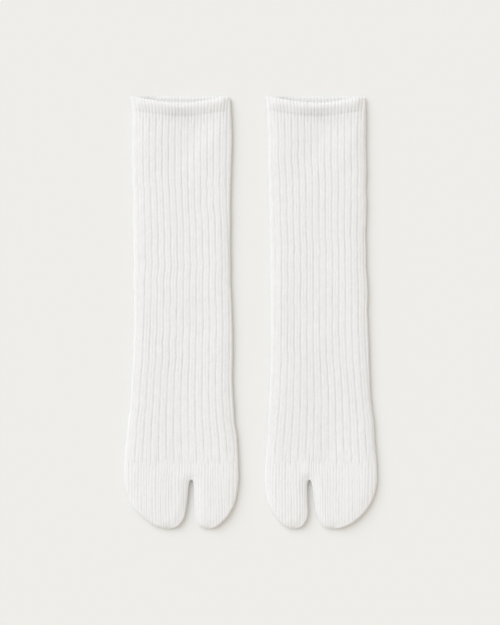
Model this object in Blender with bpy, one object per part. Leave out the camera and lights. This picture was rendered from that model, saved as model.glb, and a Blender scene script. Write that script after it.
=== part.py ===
# Pair of split-toe rib socks, laid flat side by side with the cuffs away from the viewer.
#
# Each sock is a knitted tube that lies flat: a front panel on a back panel, joined by a soft fold down
# each side. A turned welt finishes the mouth, broad ribs run down the leg and foot, and a plain toe box
# ends in two pockets, one for the big toe and one for the other four.
#
# Frame: +Y runs to the cuffs, +X across the pair, +Z up. The socks rest on z = 0 and the pair's box is
# centred on the origin. Every size below is in millimetres.

from collections import namedtuple
import math

import bmesh
import bpy

MM = 0.001

# ---------------------------------------------------------------- driving sizes

CUFF_Y = 180.2            # top edge of the back panel at the mouth
LIP_STEP = 1.4            # the front panel's edge starts this far below the back panel's, at the sides
LIP_SAG = 4.4             # how much further the front edge dips at the middle of the mouth
WELT_HEIGHT = 10.8        # turned double edge, from its lip to its seam
SEAM_GAP = 0.3            # clearance between two knitted stretches
TOE_Y = -125.6            # where the ribs end and the toe box begins

LEG_HEIGHT = 5.3          # floor to rib crest, both panels together
GROOVE_DEPTH = 0.9        # rib crest to groove
CREST_CROWN = 0.12        # the middle of a rib stands this much over its shoulders
WALL_BACK = 1.9           # back panel's thickness
WALL_SIDE = 2.1           # thickness round the side folds
CAVITY = 0.7              # space left between the two panels
EDGE_Z = 2.3              # height of the outline, where the side folds reach furthest
EDGE_ROLL = 2.7           # radius of the side folds, in plan
FOOT_ROLL = 1.6           # how far the underside's edge is lifted in from the outline

WELT_RISE = 1.5           # how far the welt's roll stands over the leg's crests
WELT_GROOVE = 0.7         # depth of the fine ribs on the welt
MOUTH_GAP = 1.5           # space between the panels at the middle of the mouth
RIB_MERGE = 8.0           # length over which pairs of fine ribs run together below the welt
RIB_FADE = 9.0            # length over which the ribs fade out above the toe box

TOE_HEIGHT = 5.7          # floor to the top of the padded toe box
TOE_ROLL = 3.8            # radius of the toe box's edges, in plan
TOE_WALL = 2.2            # thickness of its wall
NOSE = 0.35               # each pocket's last slice lies this far short of where its outline closes

RIBS = 14                 # whole ribs over the front, beside one that turns over the side fold
CREST_INSET = 0.29        # share of a rib's pitch from the groove to the crest's shoulder
BACK_COLUMNS = 8          # facets across the flat underside
INNER_COLUMNS = 12        # facets across each plain inner face

KNIT_WHITE = (0.83, 0.82, 0.80)
KNIT_ROUGHNESS = 0.93

# ---------------------------------------------------------------- tables

# A level across the tube: its height on the sock, the two side edges, where the first groove lies and
# the ribs' pitch, both as shares of the width there.
Level = namedtuple("Level", "y left right groove pitch")

# A level across one toe pocket.
Pocket = namedtuple("Pocket", "y left right")

# A soft ridge (or trough, with a negative height) in the front panel: its centre, as a height on the
# sock and a share of the width, its half length and half width, how far it leans from the sock's
# length in degrees, and its height.
Fold = namedtuple("Fold", "y share length width lean height")

Sock = namedtuple("Sock", "name levels crotch pocket_a pocket_b folds")

RIGHT_FOOT = Sock(
    name="right_foot",
    levels=(
        Level(180.2, -101.3, -15.9, 0.046, 0.0638),
        Level(174.0, -99.8, -15.8, 0.046, 0.0638),
        Level(167.1, -98.8, -15.8, 0.047, 0.0639),
        Level(152.1, -98.9, -15.8, 0.048, 0.0640),
        Level(127.1, -98.9, -16.4, 0.049, 0.0640),
        Level(93.7, -98.1, -17.0, 0.052, 0.0646),
        Level(47.1, -97.7, -17.2, 0.059, 0.0657),
        Level(10.4, -97.7, -16.1, 0.043, 0.0664),
        Level(-22.9, -97.8, -15.3, 0.029, 0.0668),
        Level(-46.2, -98.7, -15.3, 0.026, 0.0669),
        Level(-72.9, -100.4, -14.7, 0.023, 0.0670),
        Level(-99.6, -103.2, -12.3, 0.021, 0.0675),
        Level(-112.9, -104.5, -11.0, 0.021, 0.0676),
        Level(-126.2, -105.2, -10.1, 0.021, 0.0676),
        Level(-139.2, -105.4, -10.0, 0.021, 0.0676),
    ),
    crotch=(-49.4, -139.2),
    pocket_a=(
        Pocket(-140.0, -105.4, -50.5),
        Pocket(-141.7, -105.3, -51.1),
        Pocket(-144.2, -104.9, -51.6),
        Pocket(-147.5, -104.1, -52.0),
        Pocket(-151.7, -102.6, -52.3),
        Pocket(-156.7, -101.0, -52.9),
        Pocket(-161.7, -98.3, -53.8),
        Pocket(-166.2, -94.9, -54.7),
        Pocket(-170.0, -90.8, -55.6),
        Pocket(-173.2, -86.9, -57.1),
        Pocket(-175.8, -83.2, -58.9),
        Pocket(-177.9, -79.4, -61.2),
        Pocket(-179.3, -75.4, -63.9),
        Pocket(-180.2, -71.2, -67.4),
    ),
    pocket_b=(
        Pocket(-140.0, -48.1, -10.1),
        Pocket(-141.7, -47.7, -10.2),
        Pocket(-144.2, -47.3, -10.5),
        Pocket(-147.5, -47.2, -11.0),
        Pocket(-151.7, -47.2, -11.7),
        Pocket(-156.7, -47.1, -12.7),
        Pocket(-161.7, -47.1, -14.4),
        Pocket(-166.2, -47.0, -16.9),
        Pocket(-170.0, -46.8, -19.3),
        Pocket(-173.2, -45.9, -22.1),
        Pocket(-175.8, -44.3, -24.8),
        Pocket(-177.9, -42.2, -27.5),
        Pocket(-179.3, -39.5, -30.0),
        Pocket(-180.2, -36.6, -33.0),
    ),
    folds=(
        Fold(143.0, 0.66, 30.0, 8.0, -34.0, 0.55),
        Fold(148.0, 0.36, 26.0, 13.0, -22.0, -0.45),
        Fold(24.0, 0.66, 13.0, 30.0, 0.0, 0.45),
        Fold(-42.0, 0.30, 12.0, 26.0, 0.0, 0.40),
        Fold(-96.0, 0.28, 26.0, 17.0, 8.0, -0.35),
        Fold(-60.0, 0.78, 52.0, 10.0, 4.0, 0.35),
    ),
)

LEFT_FOOT = Sock(
    name="left_foot",
    levels=(
        Level(180.2, 11.7, 96.0, 0.037, 0.0672),
        Level(174.0, 12.8, 96.0, 0.037, 0.0672),
        Level(167.1, 13.6, 96.1, 0.037, 0.0672),
        Level(152.1, 13.9, 96.1, 0.038, 0.0672),
        Level(127.1, 14.4, 96.1, 0.040, 0.0670),
        Level(93.7, 15.1, 96.2, 0.047, 0.0662),
        Level(47.1, 16.1, 96.3, 0.054, 0.0655),
        Level(10.4, 16.3, 97.3, 0.048, 0.0656),
        Level(-22.9, 16.4, 98.4, 0.040, 0.0658),
        Level(-46.2, 16.3, 98.9, 0.036, 0.0666),
        Level(-72.9, 15.3, 100.7, 0.031, 0.0677),
        Level(-99.6, 13.9, 103.1, 0.016, 0.0687),
        Level(-112.9, 12.9, 104.2, 0.012, 0.0690),
        Level(-126.2, 12.2, 105.1, 0.012, 0.0690),
        Level(-139.5, 11.9, 105.4, 0.012, 0.0690),
    ),
    crotch=(48.8, -139.5),
    pocket_a=(
        Pocket(-140.3, 11.9, 47.8),
        Pocket(-141.9, 12.0, 47.3),
        Pocket(-144.2, 12.1, 47.0),
        Pocket(-147.5, 12.5, 47.0),
        Pocket(-151.7, 13.0, 47.1),
        Pocket(-156.7, 13.9, 47.2),
        Pocket(-161.9, 15.8, 47.4),
        Pocket(-166.2, 18.1, 47.4),
        Pocket(-170.0, 20.5, 46.9),
        Pocket(-173.2, 23.0, 45.7),
        Pocket(-175.8, 25.4, 44.2),
        Pocket(-177.9, 28.0, 42.4),
        Pocket(-179.3, 30.7, 40.2),
        Pocket(-180.2, 33.8, 37.4),
    ),
    pocket_b=(
        Pocket(-140.3, 49.8, 105.4),
        Pocket(-141.9, 50.4, 105.2),
        Pocket(-144.2, 51.0, 104.8),
        Pocket(-147.5, 51.6, 104.2),
        Pocket(-151.7, 52.1, 103.2),
        Pocket(-156.7, 52.8, 101.3),
        Pocket(-161.9, 53.5, 98.2),
        Pocket(-166.2, 54.2, 95.0),
        Pocket(-170.0, 55.2, 91.5),
        Pocket(-173.2, 56.7, 87.8),
        Pocket(-175.8, 58.5, 84.2),
        Pocket(-177.9, 60.6, 80.2),
        Pocket(-179.3, 63.1, 76.4),
        Pocket(-180.2, 66.8, 72.0),
    ),
    folds=(
        Fold(150.0, 0.72, 22.0, 9.0, -30.0, 0.60),
        Fold(140.0, 0.34, 26.0, 13.0, -14.0, -0.40),
        Fold(18.0, 0.62, 14.0, 28.0, 0.0, 0.35),
        Fold(-38.0, 0.36, 12.0, 28.0, 0.0, 0.35),
        Fold(-100.0, 0.30, 28.0, 18.0, 8.0, -0.35),
        Fold(-70.0, 0.76, 48.0, 10.0, 4.0, 0.30),
    ),
)

# How the welt's front stands over the leg, from its seam to its lip: the share of its height and the
# share of its full rise.
WeltStep = namedtuple("WeltStep", "share rise")
WELT_PROFILE = (
    WeltStep(0.00, -0.10),
    WeltStep(0.06, 0.42),
    WeltStep(0.20, 0.82),
    WeltStep(0.48, 1.00),
    WeltStep(0.74, 0.94),
    WeltStep(0.90, 0.60),
    WeltStep(0.975, 0.12),
)

# Heights on the leg, below the seam of the welt, at which a ring of points is set.
LEG_STEPS = (0.0, 3.5, 8.0, 14.0, 21.0, 29.0, 38.0, 50.0, 66.0, 84.0, 104.0, 124.0, 141.0, 157.0,
             174.0, 191.0, 208.0, 225.0, 241.0, 256.0, 268.0, 277.0)


# ---------------------------------------------------------------- small helpers

def smooth_step(t):
    """Ease from 0 to 1."""
    t = min(1.0, max(0.0, t))
    return t * t * (3.0 - 2.0 * t)


def read_table(rows, y, column):
    """Value of one column at height y, by a smooth curve through the table's rows."""
    if y >= rows[0].y:
        return getattr(rows[0], column)
    if y <= rows[-1].y:
        return getattr(rows[-1], column)
    i = 0
    while rows[i + 1].y > y:
        i += 1
    before = rows[max(i - 1, 0)]
    start = rows[i]
    end = rows[i + 1]
    after = rows[min(i + 2, len(rows) - 1)]
    span = end.y - start.y
    t = (y - start.y) / span
    p0 = getattr(start, column)
    p1 = getattr(end, column)
    m0 = (p1 - getattr(before, column)) / (end.y - before.y) * span
    m1 = (getattr(after, column) - p0) / (after.y - start.y) * span
    a = 2 * t ** 3 - 3 * t ** 2 + 1
    b = t ** 3 - 2 * t ** 2 + t
    c = -2 * t ** 3 + 3 * t ** 2
    d = t ** 3 - t ** 2
    return a * p0 + b * m0 + c * p1 + d * m1


def roll(distance, radius):
    """Quarter-round profile: 0 on the outline, 1 from one radius inwards."""
    if distance >= radius:
        return 1.0
    t = 1.0 - max(distance, 0.0) / radius
    return math.sqrt(1.0 - t * t)


def nose(rows):
    """Point just past a pocket's last slice, where its outline would close."""
    return 0.5 * (rows[-1].left + rows[-1].right), rows[-1].y - NOSE


def outline(sock):
    """Side edges, pockets and split of one sock in plan, from cuff to cuff."""
    path = []
    for row in sock.levels:
        path.append((row.left, row.y))
    for row in sock.pocket_a:
        path.append((row.left, row.y))
    path.append(nose(sock.pocket_a))
    for row in reversed(sock.pocket_a):
        path.append((row.right, row.y))
    path.append(sock.crotch)
    for row in sock.pocket_b:
        path.append((row.left, row.y))
    path.append(nose(sock.pocket_b))
    for row in reversed(sock.pocket_b):
        path.append((row.right, row.y))
    for row in reversed(sock.levels):
        path.append((row.right, row.y))
    return path


def distance_to(path, x, y):
    """Shortest way in plan from a point to the outline."""
    best = 1e9
    for (x0, y0), (x1, y1) in zip(path, path[1:]):
        dx = x1 - x0
        dy = y1 - y0
        length = dx * dx + dy * dy
        t = 0.0
        if length > 0.0:
            t = min(1.0, max(0.0, ((x - x0) * dx + (y - y0) * dy) / length))
        best = min(best, math.hypot(x - x0 - t * dx, y - y0 - t * dy))
    return best


def inset_edge(path, y, start, towards, inset):
    """First x on the way from 'start' to 'towards', at height y, that lies 'inset' inside the outline."""
    low = 0.0
    high = 1.0
    for _ in range(24):
        middle = 0.5 * (low + high)
        if distance_to(path, start + (towards - start) * middle, y) < inset:
            low = middle
        else:
            high = middle
    return start + (towards - start) * high


def fold_height(sock, x, y):
    """Rise of the front panel at one place, from the table of soft folds."""
    left = read_table(sock.levels, y, "left")
    right = read_table(sock.levels, y, "right")
    total = 0.0
    for fold in sock.folds:
        dx = x - (left + fold.share * (right - left))
        dy = y - fold.y
        lean = math.radians(fold.lean)
        along = dy * math.cos(lean) - dx * math.sin(lean)
        across = dx * math.cos(lean) + dy * math.sin(lean)
        total += fold.height * math.exp(-(along / fold.length) ** 2 - (across / fold.width) ** 2)
    return total


def lip_dip(share):
    """How far the front panel's edge dips at a place across the mouth."""
    return LIP_SAG * math.sin(math.pi * share) ** 1.35


# ---------------------------------------------------------------- mesh helpers

# A ring runs from the left edge over the front panel to the right edge and back under the sock. Each
# point keeps a place from 0 to 2 on the way round, so rings with unlike counts can be joined.

def add_ring(mesh, points):
    """Add one ring's points, given as (place, x, y, z) in millimetres."""
    ring = []
    for place, x, y, z in points:
        ring.append((place, mesh.verts.new((x * MM, y * MM, z * MM))))
    return ring


def join_rings(mesh, first, second):
    """Quads between two rings with the same count of points."""
    count = len(first)
    for i in range(count):
        j = (i + 1) % count
        corners = []
        for vert in (first[i][1], first[j][1], second[j][1], second[i][1]):
            if vert not in corners:
                corners.append(vert)
        if len(corners) > 2:
            mesh.faces.new(corners)


def zip_rings(mesh, first, second):
    """Triangles between two rings with unlike counts, led by their places on the way round."""
    i = 0
    j = 0
    while i < len(first) or j < len(second):
        next_first = first[i + 1][0] if i + 1 < len(first) else 2.0
        next_second = second[j + 1][0] if j + 1 < len(second) else 2.0
        a = first[i % len(first)][1]
        b = second[j % len(second)][1]
        if j >= len(second) or (i < len(first) and next_first <= next_second):
            mesh.faces.new((a, first[(i + 1) % len(first)][1], b))
            i += 1
        else:
            mesh.faces.new((a, second[(j + 1) % len(second)][1], b))
            j += 1


def close_ring(mesh, ring, front_count):
    """Strip between the front and the back of a pocket's last ring."""
    front = [vert for _, vert in ring[:front_count + 1]]
    back = [vert for _, vert in ring[front_count:]] + [ring[0][1]]
    back.reverse()
    i = 0
    j = 0
    while i < len(front) - 1 or j < len(back) - 1:
        share_front = (i + 1) / (len(front) - 1)
        share_back = (j + 1) / (len(back) - 1)
        if j >= len(back) - 1 or (i < len(front) - 1 and share_front <= share_back):
            corners = [front[i], front[i + 1], back[j]]
            i += 1
        else:
            corners = [front[i], back[j + 1], back[j]]
            j += 1
        if len(set(corners)) == 3:
            mesh.faces.new(corners)


def finish_object(mesh, name, collection):
    """Turn the faces outwards, make the object and give it its own knit material."""
    bmesh.ops.recalc_face_normals(mesh, faces=mesh.faces[:])
    data = bpy.data.meshes.new(name)
    mesh.to_mesh(data)
    mesh.free()
    for polygon in data.polygons:
        polygon.use_smooth = True
    data.set_sharp_from_angle(angle=math.radians(50.0))
    material = bpy.data.materials.new(name + "_knit")
    material.use_nodes = True
    shader = material.node_tree.nodes["Principled BSDF"]
    shader.inputs["Base Color"].default_value = (*KNIT_WHITE, 1.0)
    shader.inputs["Roughness"].default_value = KNIT_ROUGHNESS
    shader.inputs["Metallic"].default_value = 0.0
    data.materials.append(material)
    item = bpy.data.objects.new(name, data)
    collection.objects.link(item)
    return item


# ---------------------------------------------------------------- the ribbed tube

def rib_columns(sock, y):
    """Places across the front at height y, as (share of the width, kind)."""
    left = read_table(sock.levels, y, "left")
    right = read_table(sock.levels, y, "right")
    width = right - left
    first = read_table(sock.levels, y, "groove")
    pitch = read_table(sock.levels, y, "pitch")
    inset = CREST_INSET * pitch
    places = [(0.35, "edge"), (1.1, "edge")]
    places.append((max(1.9, (first - inset) * width), "crest"))
    for k in range(RIBS):
        groove = first + k * pitch
        places.append((max(2.4, groove * width), "groove"))
        places.append(((groove + inset) * width, "crest"))
        if k < RIBS - 1:
            places.append(((groove + 0.5 * pitch) * width, "middle"))
            places.append(((groove + pitch - inset) * width, "crest"))
    places.append((width - 2.4, "crest"))
    places.append((width - 1.1, "edge"))
    places.append((width - 0.35, "edge"))
    return [(place / width, kind) for place, kind in places]


def leg_ring(sock, step):
    """Outer ring of the leg, 'step' below the welt's seam."""
    seam = CUFF_Y - LIP_STEP - WELT_HEIGHT - SEAM_GAP
    y = seam - step
    if step == LEG_STEPS[-1]:
        y = TOE_Y + SEAM_GAP
    sag = 1.0 - smooth_step(step / 60.0)
    merge = 1.0 - smooth_step(step / RIB_MERGE)
    fade = smooth_step((y - TOE_Y) / RIB_FADE)
    depth = GROOVE_DEPTH * (0.35 + 0.65 * fade)
    left = read_table(sock.levels, y, "left")
    right = read_table(sock.levels, y, "right")
    width = right - left
    points = [(0.0, left, y, EDGE_Z)]
    for share, kind in rib_columns(sock, y):
        x = left + share * width
        y_front = y - lip_dip(share) * sag
        edge = min(x - left, right - x)
        z = EDGE_Z + (LEG_HEIGHT - EDGE_Z) * roll(edge, EDGE_ROLL)
        z += fold_height(sock, x, y_front) * smooth_step(edge / 14.0)
        if kind == "groove":
            z -= depth * smooth_step(edge / 3.0)
        if kind == "middle":
            z += CREST_CROWN - merge * (WELT_GROOVE + CREST_CROWN)
        points.append((share, x, y_front, z))
    points.append((1.0, right, y, EDGE_Z))
    points += under_points(left, right, y)
    return points


def under_points(left, right, y):
    """Flat underside of a ring, from the right edge to the left one."""
    points = [(1.004, right - 0.4 * FOOT_ROLL, y, 0.2 * EDGE_Z)]
    span = right - left - 2.0 * FOOT_ROLL
    for k in range(BACK_COLUMNS + 1):
        x = right - FOOT_ROLL - span * k / BACK_COLUMNS
        points.append((1.0 + (right - x) / (right - left), x, y, 0.0))
    points.append((1.996, left + 0.4 * FOOT_ROLL, y, 0.2 * EDGE_Z))
    return points


def inner_ring(sock, y, sag, lift):
    """Plain ring inside the tube at height y. 'lift' opens it at the middle of the mouth."""
    outer_left = read_table(sock.levels, y, "left")
    width = read_table(sock.levels, y, "right") - outer_left
    inset = WALL_SIDE / width
    middle = WALL_BACK + 0.5 * CAVITY
    points = [(0.0, outer_left + WALL_SIDE, y, middle)]
    for k in range(1, INNER_COLUMNS):
        share = inset + (1.0 - 2.0 * inset) * k / INNER_COLUMNS
        x = outer_left + share * width
        y_front = y - lip_dip(share) * sag
        z = WALL_BACK + CAVITY + max(0.0, fold_height(sock, x, y_front))
        z += lift * math.sin(math.pi * share)
        points.append((share, x, y_front, z))
    points.append((1.0, outer_left + width - WALL_SIDE, y, middle))
    for k in range(1, INNER_COLUMNS):
        share = inset + (1.0 - 2.0 * inset) * k / INNER_COLUMNS
        points.append((1.0 + share, outer_left + width * (1.0 - share), y, WALL_BACK))
    return points


def seam_points(sock, y, sag, outer_points):
    """Inner rim of a seam at height y: each outer point's partner, one wall thickness in."""
    left = read_table(sock.levels, y, "left")
    width = read_table(sock.levels, y, "right") - left
    points = []
    for place, outer_x, _, _ in outer_points:
        share = (WALL_SIDE + (outer_x - left) * (1.0 - 2.0 * WALL_SIDE / width)) / width
        x = left + share * width
        if place in (0.0, 1.0):
            points.append((place, x, y, WALL_BACK + 0.5 * CAVITY))
        elif place < 1.0:
            y_front = y - lip_dip(share) * sag
            z = WALL_BACK + CAVITY + max(0.0, fold_height(sock, x, y_front))
            points.append((place, x, y_front, z))
        else:
            points.append((place, x, y, WALL_BACK))
    return points


def build_leg(sock, collection):
    """Ribbed tube, open at both ends."""
    mesh = bmesh.new()
    outer = [add_ring(mesh, leg_ring(sock, step)) for step in LEG_STEPS]
    for upper, lower in zip(outer, outer[1:]):
        join_rings(mesh, upper, lower)
    seam_y = CUFF_Y - LIP_STEP - WELT_HEIGHT - SEAM_GAP
    rim = add_ring(mesh, seam_points(sock, seam_y, 1.0, leg_ring(sock, 0.0)))
    join_rings(mesh, outer[0], rim)
    inner = []
    for step in LEG_STEPS[1::2]:
        y = seam_y - step
        if step == LEG_STEPS[-1]:
            y = TOE_Y + SEAM_GAP
        inner.append(add_ring(mesh, inner_ring(sock, y, 1.0 - smooth_step(step / 60.0), 0.0)))
    zip_rings(mesh, rim, inner[0])
    for upper, lower in zip(inner, inner[1:]):
        join_rings(mesh, upper, lower)
    zip_rings(mesh, outer[-1], inner[-1])
    return finish_object(mesh, sock.name + "_leg", collection)


# ---------------------------------------------------------------- the turned welt

def welt_ring(sock, share_up, rise):
    """Outer ring of the welt at a share of its height."""
    y = CUFF_Y - LIP_STEP - WELT_HEIGHT * (1.0 - share_up)
    y_back = y + LIP_STEP * share_up
    left = read_table(sock.levels, y, "left")
    right = read_table(sock.levels, y, "right")
    width = right - left
    seam_y = CUFF_Y - LIP_STEP - WELT_HEIGHT
    points = [(0.0, left, 0.5 * (y + y_back), EDGE_Z)]
    lip = smooth_step((share_up - 0.8) / 0.2)
    for share, kind in rib_columns(sock, seam_y):
        x = left + share * width
        y_front = y - lip_dip(share)
        edge = min(x - left, right - x)
        z = EDGE_Z + (LEG_HEIGHT - EDGE_Z) * roll(edge, EDGE_ROLL)
        z += fold_height(sock, x, seam_y - lip_dip(share)) * smooth_step(edge / 14.0)
        z += WELT_RISE * rise * smooth_step(edge / 8.0) * (0.75 + 0.25 * math.sin(math.pi * share))
        if kind in ("groove", "middle"):
            z -= WELT_GROOVE * smooth_step(edge / 3.0) * (1.0 - 0.7 * lip)
        points.append((share, x, y_front, z))
    points.append((1.0, right, 0.5 * (y + y_back), EDGE_Z))
    points += under_points(left, right, y_back)
    return points


def lip_ring(sock):
    """Ring along the fold of the welt, half way through each panel's wall."""
    y = CUFF_Y - LIP_STEP
    left = read_table(sock.levels, y, "left")
    width = read_table(sock.levels, y, "right") - left
    inset = 0.45 * WALL_SIDE / width
    points = [(0.0, left + 0.45 * WALL_SIDE, y + 0.5 * LIP_STEP, EDGE_Z)]
    count = 2 * INNER_COLUMNS
    for k in range(1, count):
        share = inset + (1.0 - 2.0 * inset) * k / count
        opening = MOUTH_GAP * math.sin(math.pi * share)
        z = WALL_BACK + CAVITY + opening + 0.9 * smooth_step(min(share, 1.0 - share) * 10.0)
        points.append((share, left + share * width, y - lip_dip(share), z))
    points.append((1.0, left + width - 0.45 * WALL_SIDE, y + 0.5 * LIP_STEP, EDGE_Z))
    for k in range(1, count):
        share = inset + (1.0 - 2.0 * inset) * k / count
        z = 0.9 + 0.5 * abs(2.0 * share - 1.0) ** 6
        points.append((1.0 + share, left + (1.0 - share) * width, CUFF_Y, z))
    return points


def build_welt(sock, collection):
    """Turned double edge round the mouth."""
    mesh = bmesh.new()
    outer = [add_ring(mesh, welt_ring(sock, step.share, step.rise)) for step in WELT_PROFILE]
    for lower, upper in zip(outer, outer[1:]):
        join_rings(mesh, lower, upper)
    lip = add_ring(mesh, lip_ring(sock))
    zip_rings(mesh, outer[-1], lip)
    inner = []
    for share_up, lift in ((0.93, 1.0), (0.6, 0.85), (0.25, 0.3)):
        y = CUFF_Y - LIP_STEP - WELT_HEIGHT * (1.0 - share_up)
        inner.append(add_ring(mesh, inner_ring(sock, y, 1.0, lift * MOUTH_GAP)))
    zip_rings(mesh, lip, inner[0])
    for upper, lower in zip(inner, inner[1:]):
        join_rings(mesh, upper, lower)
    first = WELT_PROFILE[0]
    seam_y = CUFF_Y - LIP_STEP - WELT_HEIGHT
    rim = add_ring(mesh, seam_points(sock, seam_y, 1.0, welt_ring(sock, first.share, first.rise)))
    zip_rings(mesh, inner[-1], rim)
    join_rings(mesh, rim, outer[0])
    return finish_object(mesh, sock.name + "_welt", collection)


# ---------------------------------------------------------------- the split toe box

# Facets across the front and the underside of each pocket. Pocket A is the one on the -X side.
Facets = namedtuple("Facets", "front_a under_a front_b under_b")
OUTER_FACETS = Facets(12, 6, 10, 6)
INNER_FACETS = Facets(6, 6, 6, 6)

PART = 0.5                # place of the split on the way round a ring
ABOVE_CROTCH = (5.0, 3.2, 1.8, 0.8, 0.25)       # rings that lead into the split, above its top
INNER_DROPS = (3.4, 8.5, 14.0, 20.0, 25.5, 30.5, 34.2, 36.8)    # rings inside a pocket, below the split


def spread(count):
    """Shares from 0 to 1 that crowd towards both ends."""
    return [0.5 - 0.5 * math.cos(math.pi * k / count) for k in range(count + 1)]


def toe_top(sock, path, x, y):
    """Height of the padded front of the toe box."""
    swell = smooth_step((TOE_Y - y) / 14.0)
    crown = LEG_HEIGHT + (TOE_HEIGHT - LEG_HEIGHT) * swell
    radius = EDGE_ROLL + (TOE_ROLL - EDGE_ROLL) * swell
    distance = distance_to(path, x, y)
    height = EDGE_Z + (crown - EDGE_Z) * roll(distance, radius)
    return height + fold_height(sock, x, y) * smooth_step(distance / 14.0)


def toe_under(path, x, y):
    """Height of the toe box's underside, flat but for its rolled edge."""
    return EDGE_Z * (1.0 - roll(distance_to(path, x, y), FOOT_ROLL))


def cavity_half(path, x, y):
    """Half the height of the space inside the toe box."""
    return 0.5 * CAVITY * roll(distance_to(path, x, y) - TOE_WALL, 1.6)


def half_slice(y, left, right, front, under, places, heights):
    """Front points and underside points of one slice, between its two ends."""
    start, end = places
    over_height, under_height = heights
    over = []
    for share in spread(front)[1:-1]:
        x = left + share * (right - left)
        over.append((start + share * (end - start), x, y, over_height(x, y)))
    below = []
    for share in spread(under)[1:-1]:
        x = right - share * (right - left)
        below.append((2.0 - end + share * (end - start), x, y, under_height(x, y)))
    return over, below


def tube_slice(mesh, y, left, right, split_x, facets, heights, edge_z, crotch=None):
    """Ring right round the toe box, above the split. At the split's top both sides share one point."""
    over_a, below_a = half_slice(y, left, split_x, facets.front_a, facets.under_a, (0.0, PART), heights)
    over_b, below_b = half_slice(y, split_x, right, facets.front_b, facets.under_b, (PART, 1.0), heights)
    ring = add_ring(mesh, [(0.0, left, y, edge_z)] + over_a)
    if crotch:
        ring.append((PART, crotch))
    else:
        ring += add_ring(mesh, [(PART, split_x, y, heights[0](split_x, y))])
    ring += add_ring(mesh, over_b + [(1.0, right, y, edge_z)] + below_b)
    if crotch:
        ring.append((2.0 - PART, crotch))
    else:
        ring += add_ring(mesh, [(2.0 - PART, split_x, y, heights[1](split_x, y))])
    ring += add_ring(mesh, below_a)
    return ring


def build_skin(mesh, tube_levels, split, pockets, facets, heights, edge_z):
    """One skin of the toe box, from its open end to the closed tips. Returns its first ring."""
    split_x, split_y = split
    crotch = mesh.verts.new((split_x * MM, split_y * MM, edge_z * MM))
    rings = []
    for level in tube_levels:
        at_split = crotch if level.y == split_y else None
        rings.append(tube_slice(mesh, level.y, level.left, level.right, split_x, facets, heights,
                                edge_z, at_split))
    for upper, lower in zip(rings, rings[1:]):
        join_rings(mesh, upper, lower)
    last = rings[-1]
    turn = facets.front_a + facets.front_b
    part_a = last[:facets.front_a + 1] + last[turn + facets.under_b + 1:]
    part_b = last[facets.front_a:turn + facets.under_b]
    sides = ((pockets[0], part_a, facets.front_a, facets.under_a),
             (pockets[1], part_b, facets.front_b, facets.under_b))
    for rows, ring, front, under in sides:
        for row in rows:
            over, below = half_slice(row.y, row.left, row.right, front, under, (0.0, 1.0), heights)
            points = [(0.0, row.left, row.y, edge_z)] + over
            points += [(1.0, row.right, row.y, edge_z)] + below
            following = add_ring(mesh, points)
            join_rings(mesh, ring, following)
            ring = following
        close_ring(mesh, ring, front)
    return rings[0]


def inner_pocket(path, rows, split_y):
    """Slices of a pocket's inside, one wall thickness in from its outline."""
    inner = []
    for drop in INNER_DROPS:
        y = split_y - drop
        left = read_table(rows, y, "left")
        right = read_table(rows, y, "right")
        centre = 0.5 * (left + right)
        inner.append(Pocket(y, inset_edge(path, y, left, centre, TOE_WALL),
                            inset_edge(path, y, right, centre, TOE_WALL)))
    return inner


def build_toe(sock, collection):
    """Toe box: a tube that parts into two closed pockets."""
    mesh = bmesh.new()
    path = outline(sock)
    split_x, split_y = sock.crotch

    levels = []
    for y in (TOE_Y, TOE_Y - 3.2) + tuple(split_y + rise for rise in ABOVE_CROTCH) + (split_y,):
        levels.append(Pocket(y, read_table(sock.levels, y, "left"), read_table(sock.levels, y, "right")))
    outer = build_skin(
        mesh, levels, sock.crotch, (sock.pocket_a, sock.pocket_b), OUTER_FACETS,
        (lambda x, y: toe_top(sock, path, x, y), lambda x, y: toe_under(path, x, y)), EDGE_Z)

    middle = WALL_BACK + 0.5 * CAVITY
    inner_split = split_y + TOE_WALL
    levels = []
    for y in (TOE_Y, TOE_Y - 3.2, inner_split + 2.6, inner_split + 1.0, inner_split):
        levels.append(Pocket(y, read_table(sock.levels, y, "left") + TOE_WALL,
                             read_table(sock.levels, y, "right") - TOE_WALL))
    pockets = (inner_pocket(path, sock.pocket_a, split_y), inner_pocket(path, sock.pocket_b, split_y))
    inner = build_skin(
        mesh, levels, (split_x, inner_split), pockets, INNER_FACETS,
        (lambda x, y: middle + cavity_half(path, x, y), lambda x, y: middle - cavity_half(path, x, y)),
        middle)

    zip_rings(mesh, outer, inner)
    return finish_object(mesh, sock.name + "_toe", collection)


# ---------------------------------------------------------------- assembly

def main():
    for item in list(bpy.data.objects):
        bpy.data.objects.remove(item, do_unlink=True)
    collection = bpy.data.collections.new("split_toe_socks")
    bpy.context.scene.collection.children.link(collection)
    for sock in (RIGHT_FOOT, LEFT_FOOT):
        build_welt(sock, collection)
        build_leg(sock, collection)
        build_toe(sock, collection)


main()
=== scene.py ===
# %% [markdown]
# # A pair of split-toe rib socks, laid flat
# The pair lies on a plain surface, cuffs away from the viewer. Each sock is a knitted tube pressed flat:
# a front panel on a back panel. This notebook dresses the plain solids with dense knit: broad ribs,
# a turned welt, a plain toe box with two pockets, and a cotton finish with stitches and a light nap.

# %% Tools and the frame
import math
from collections import namedtuple

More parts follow.
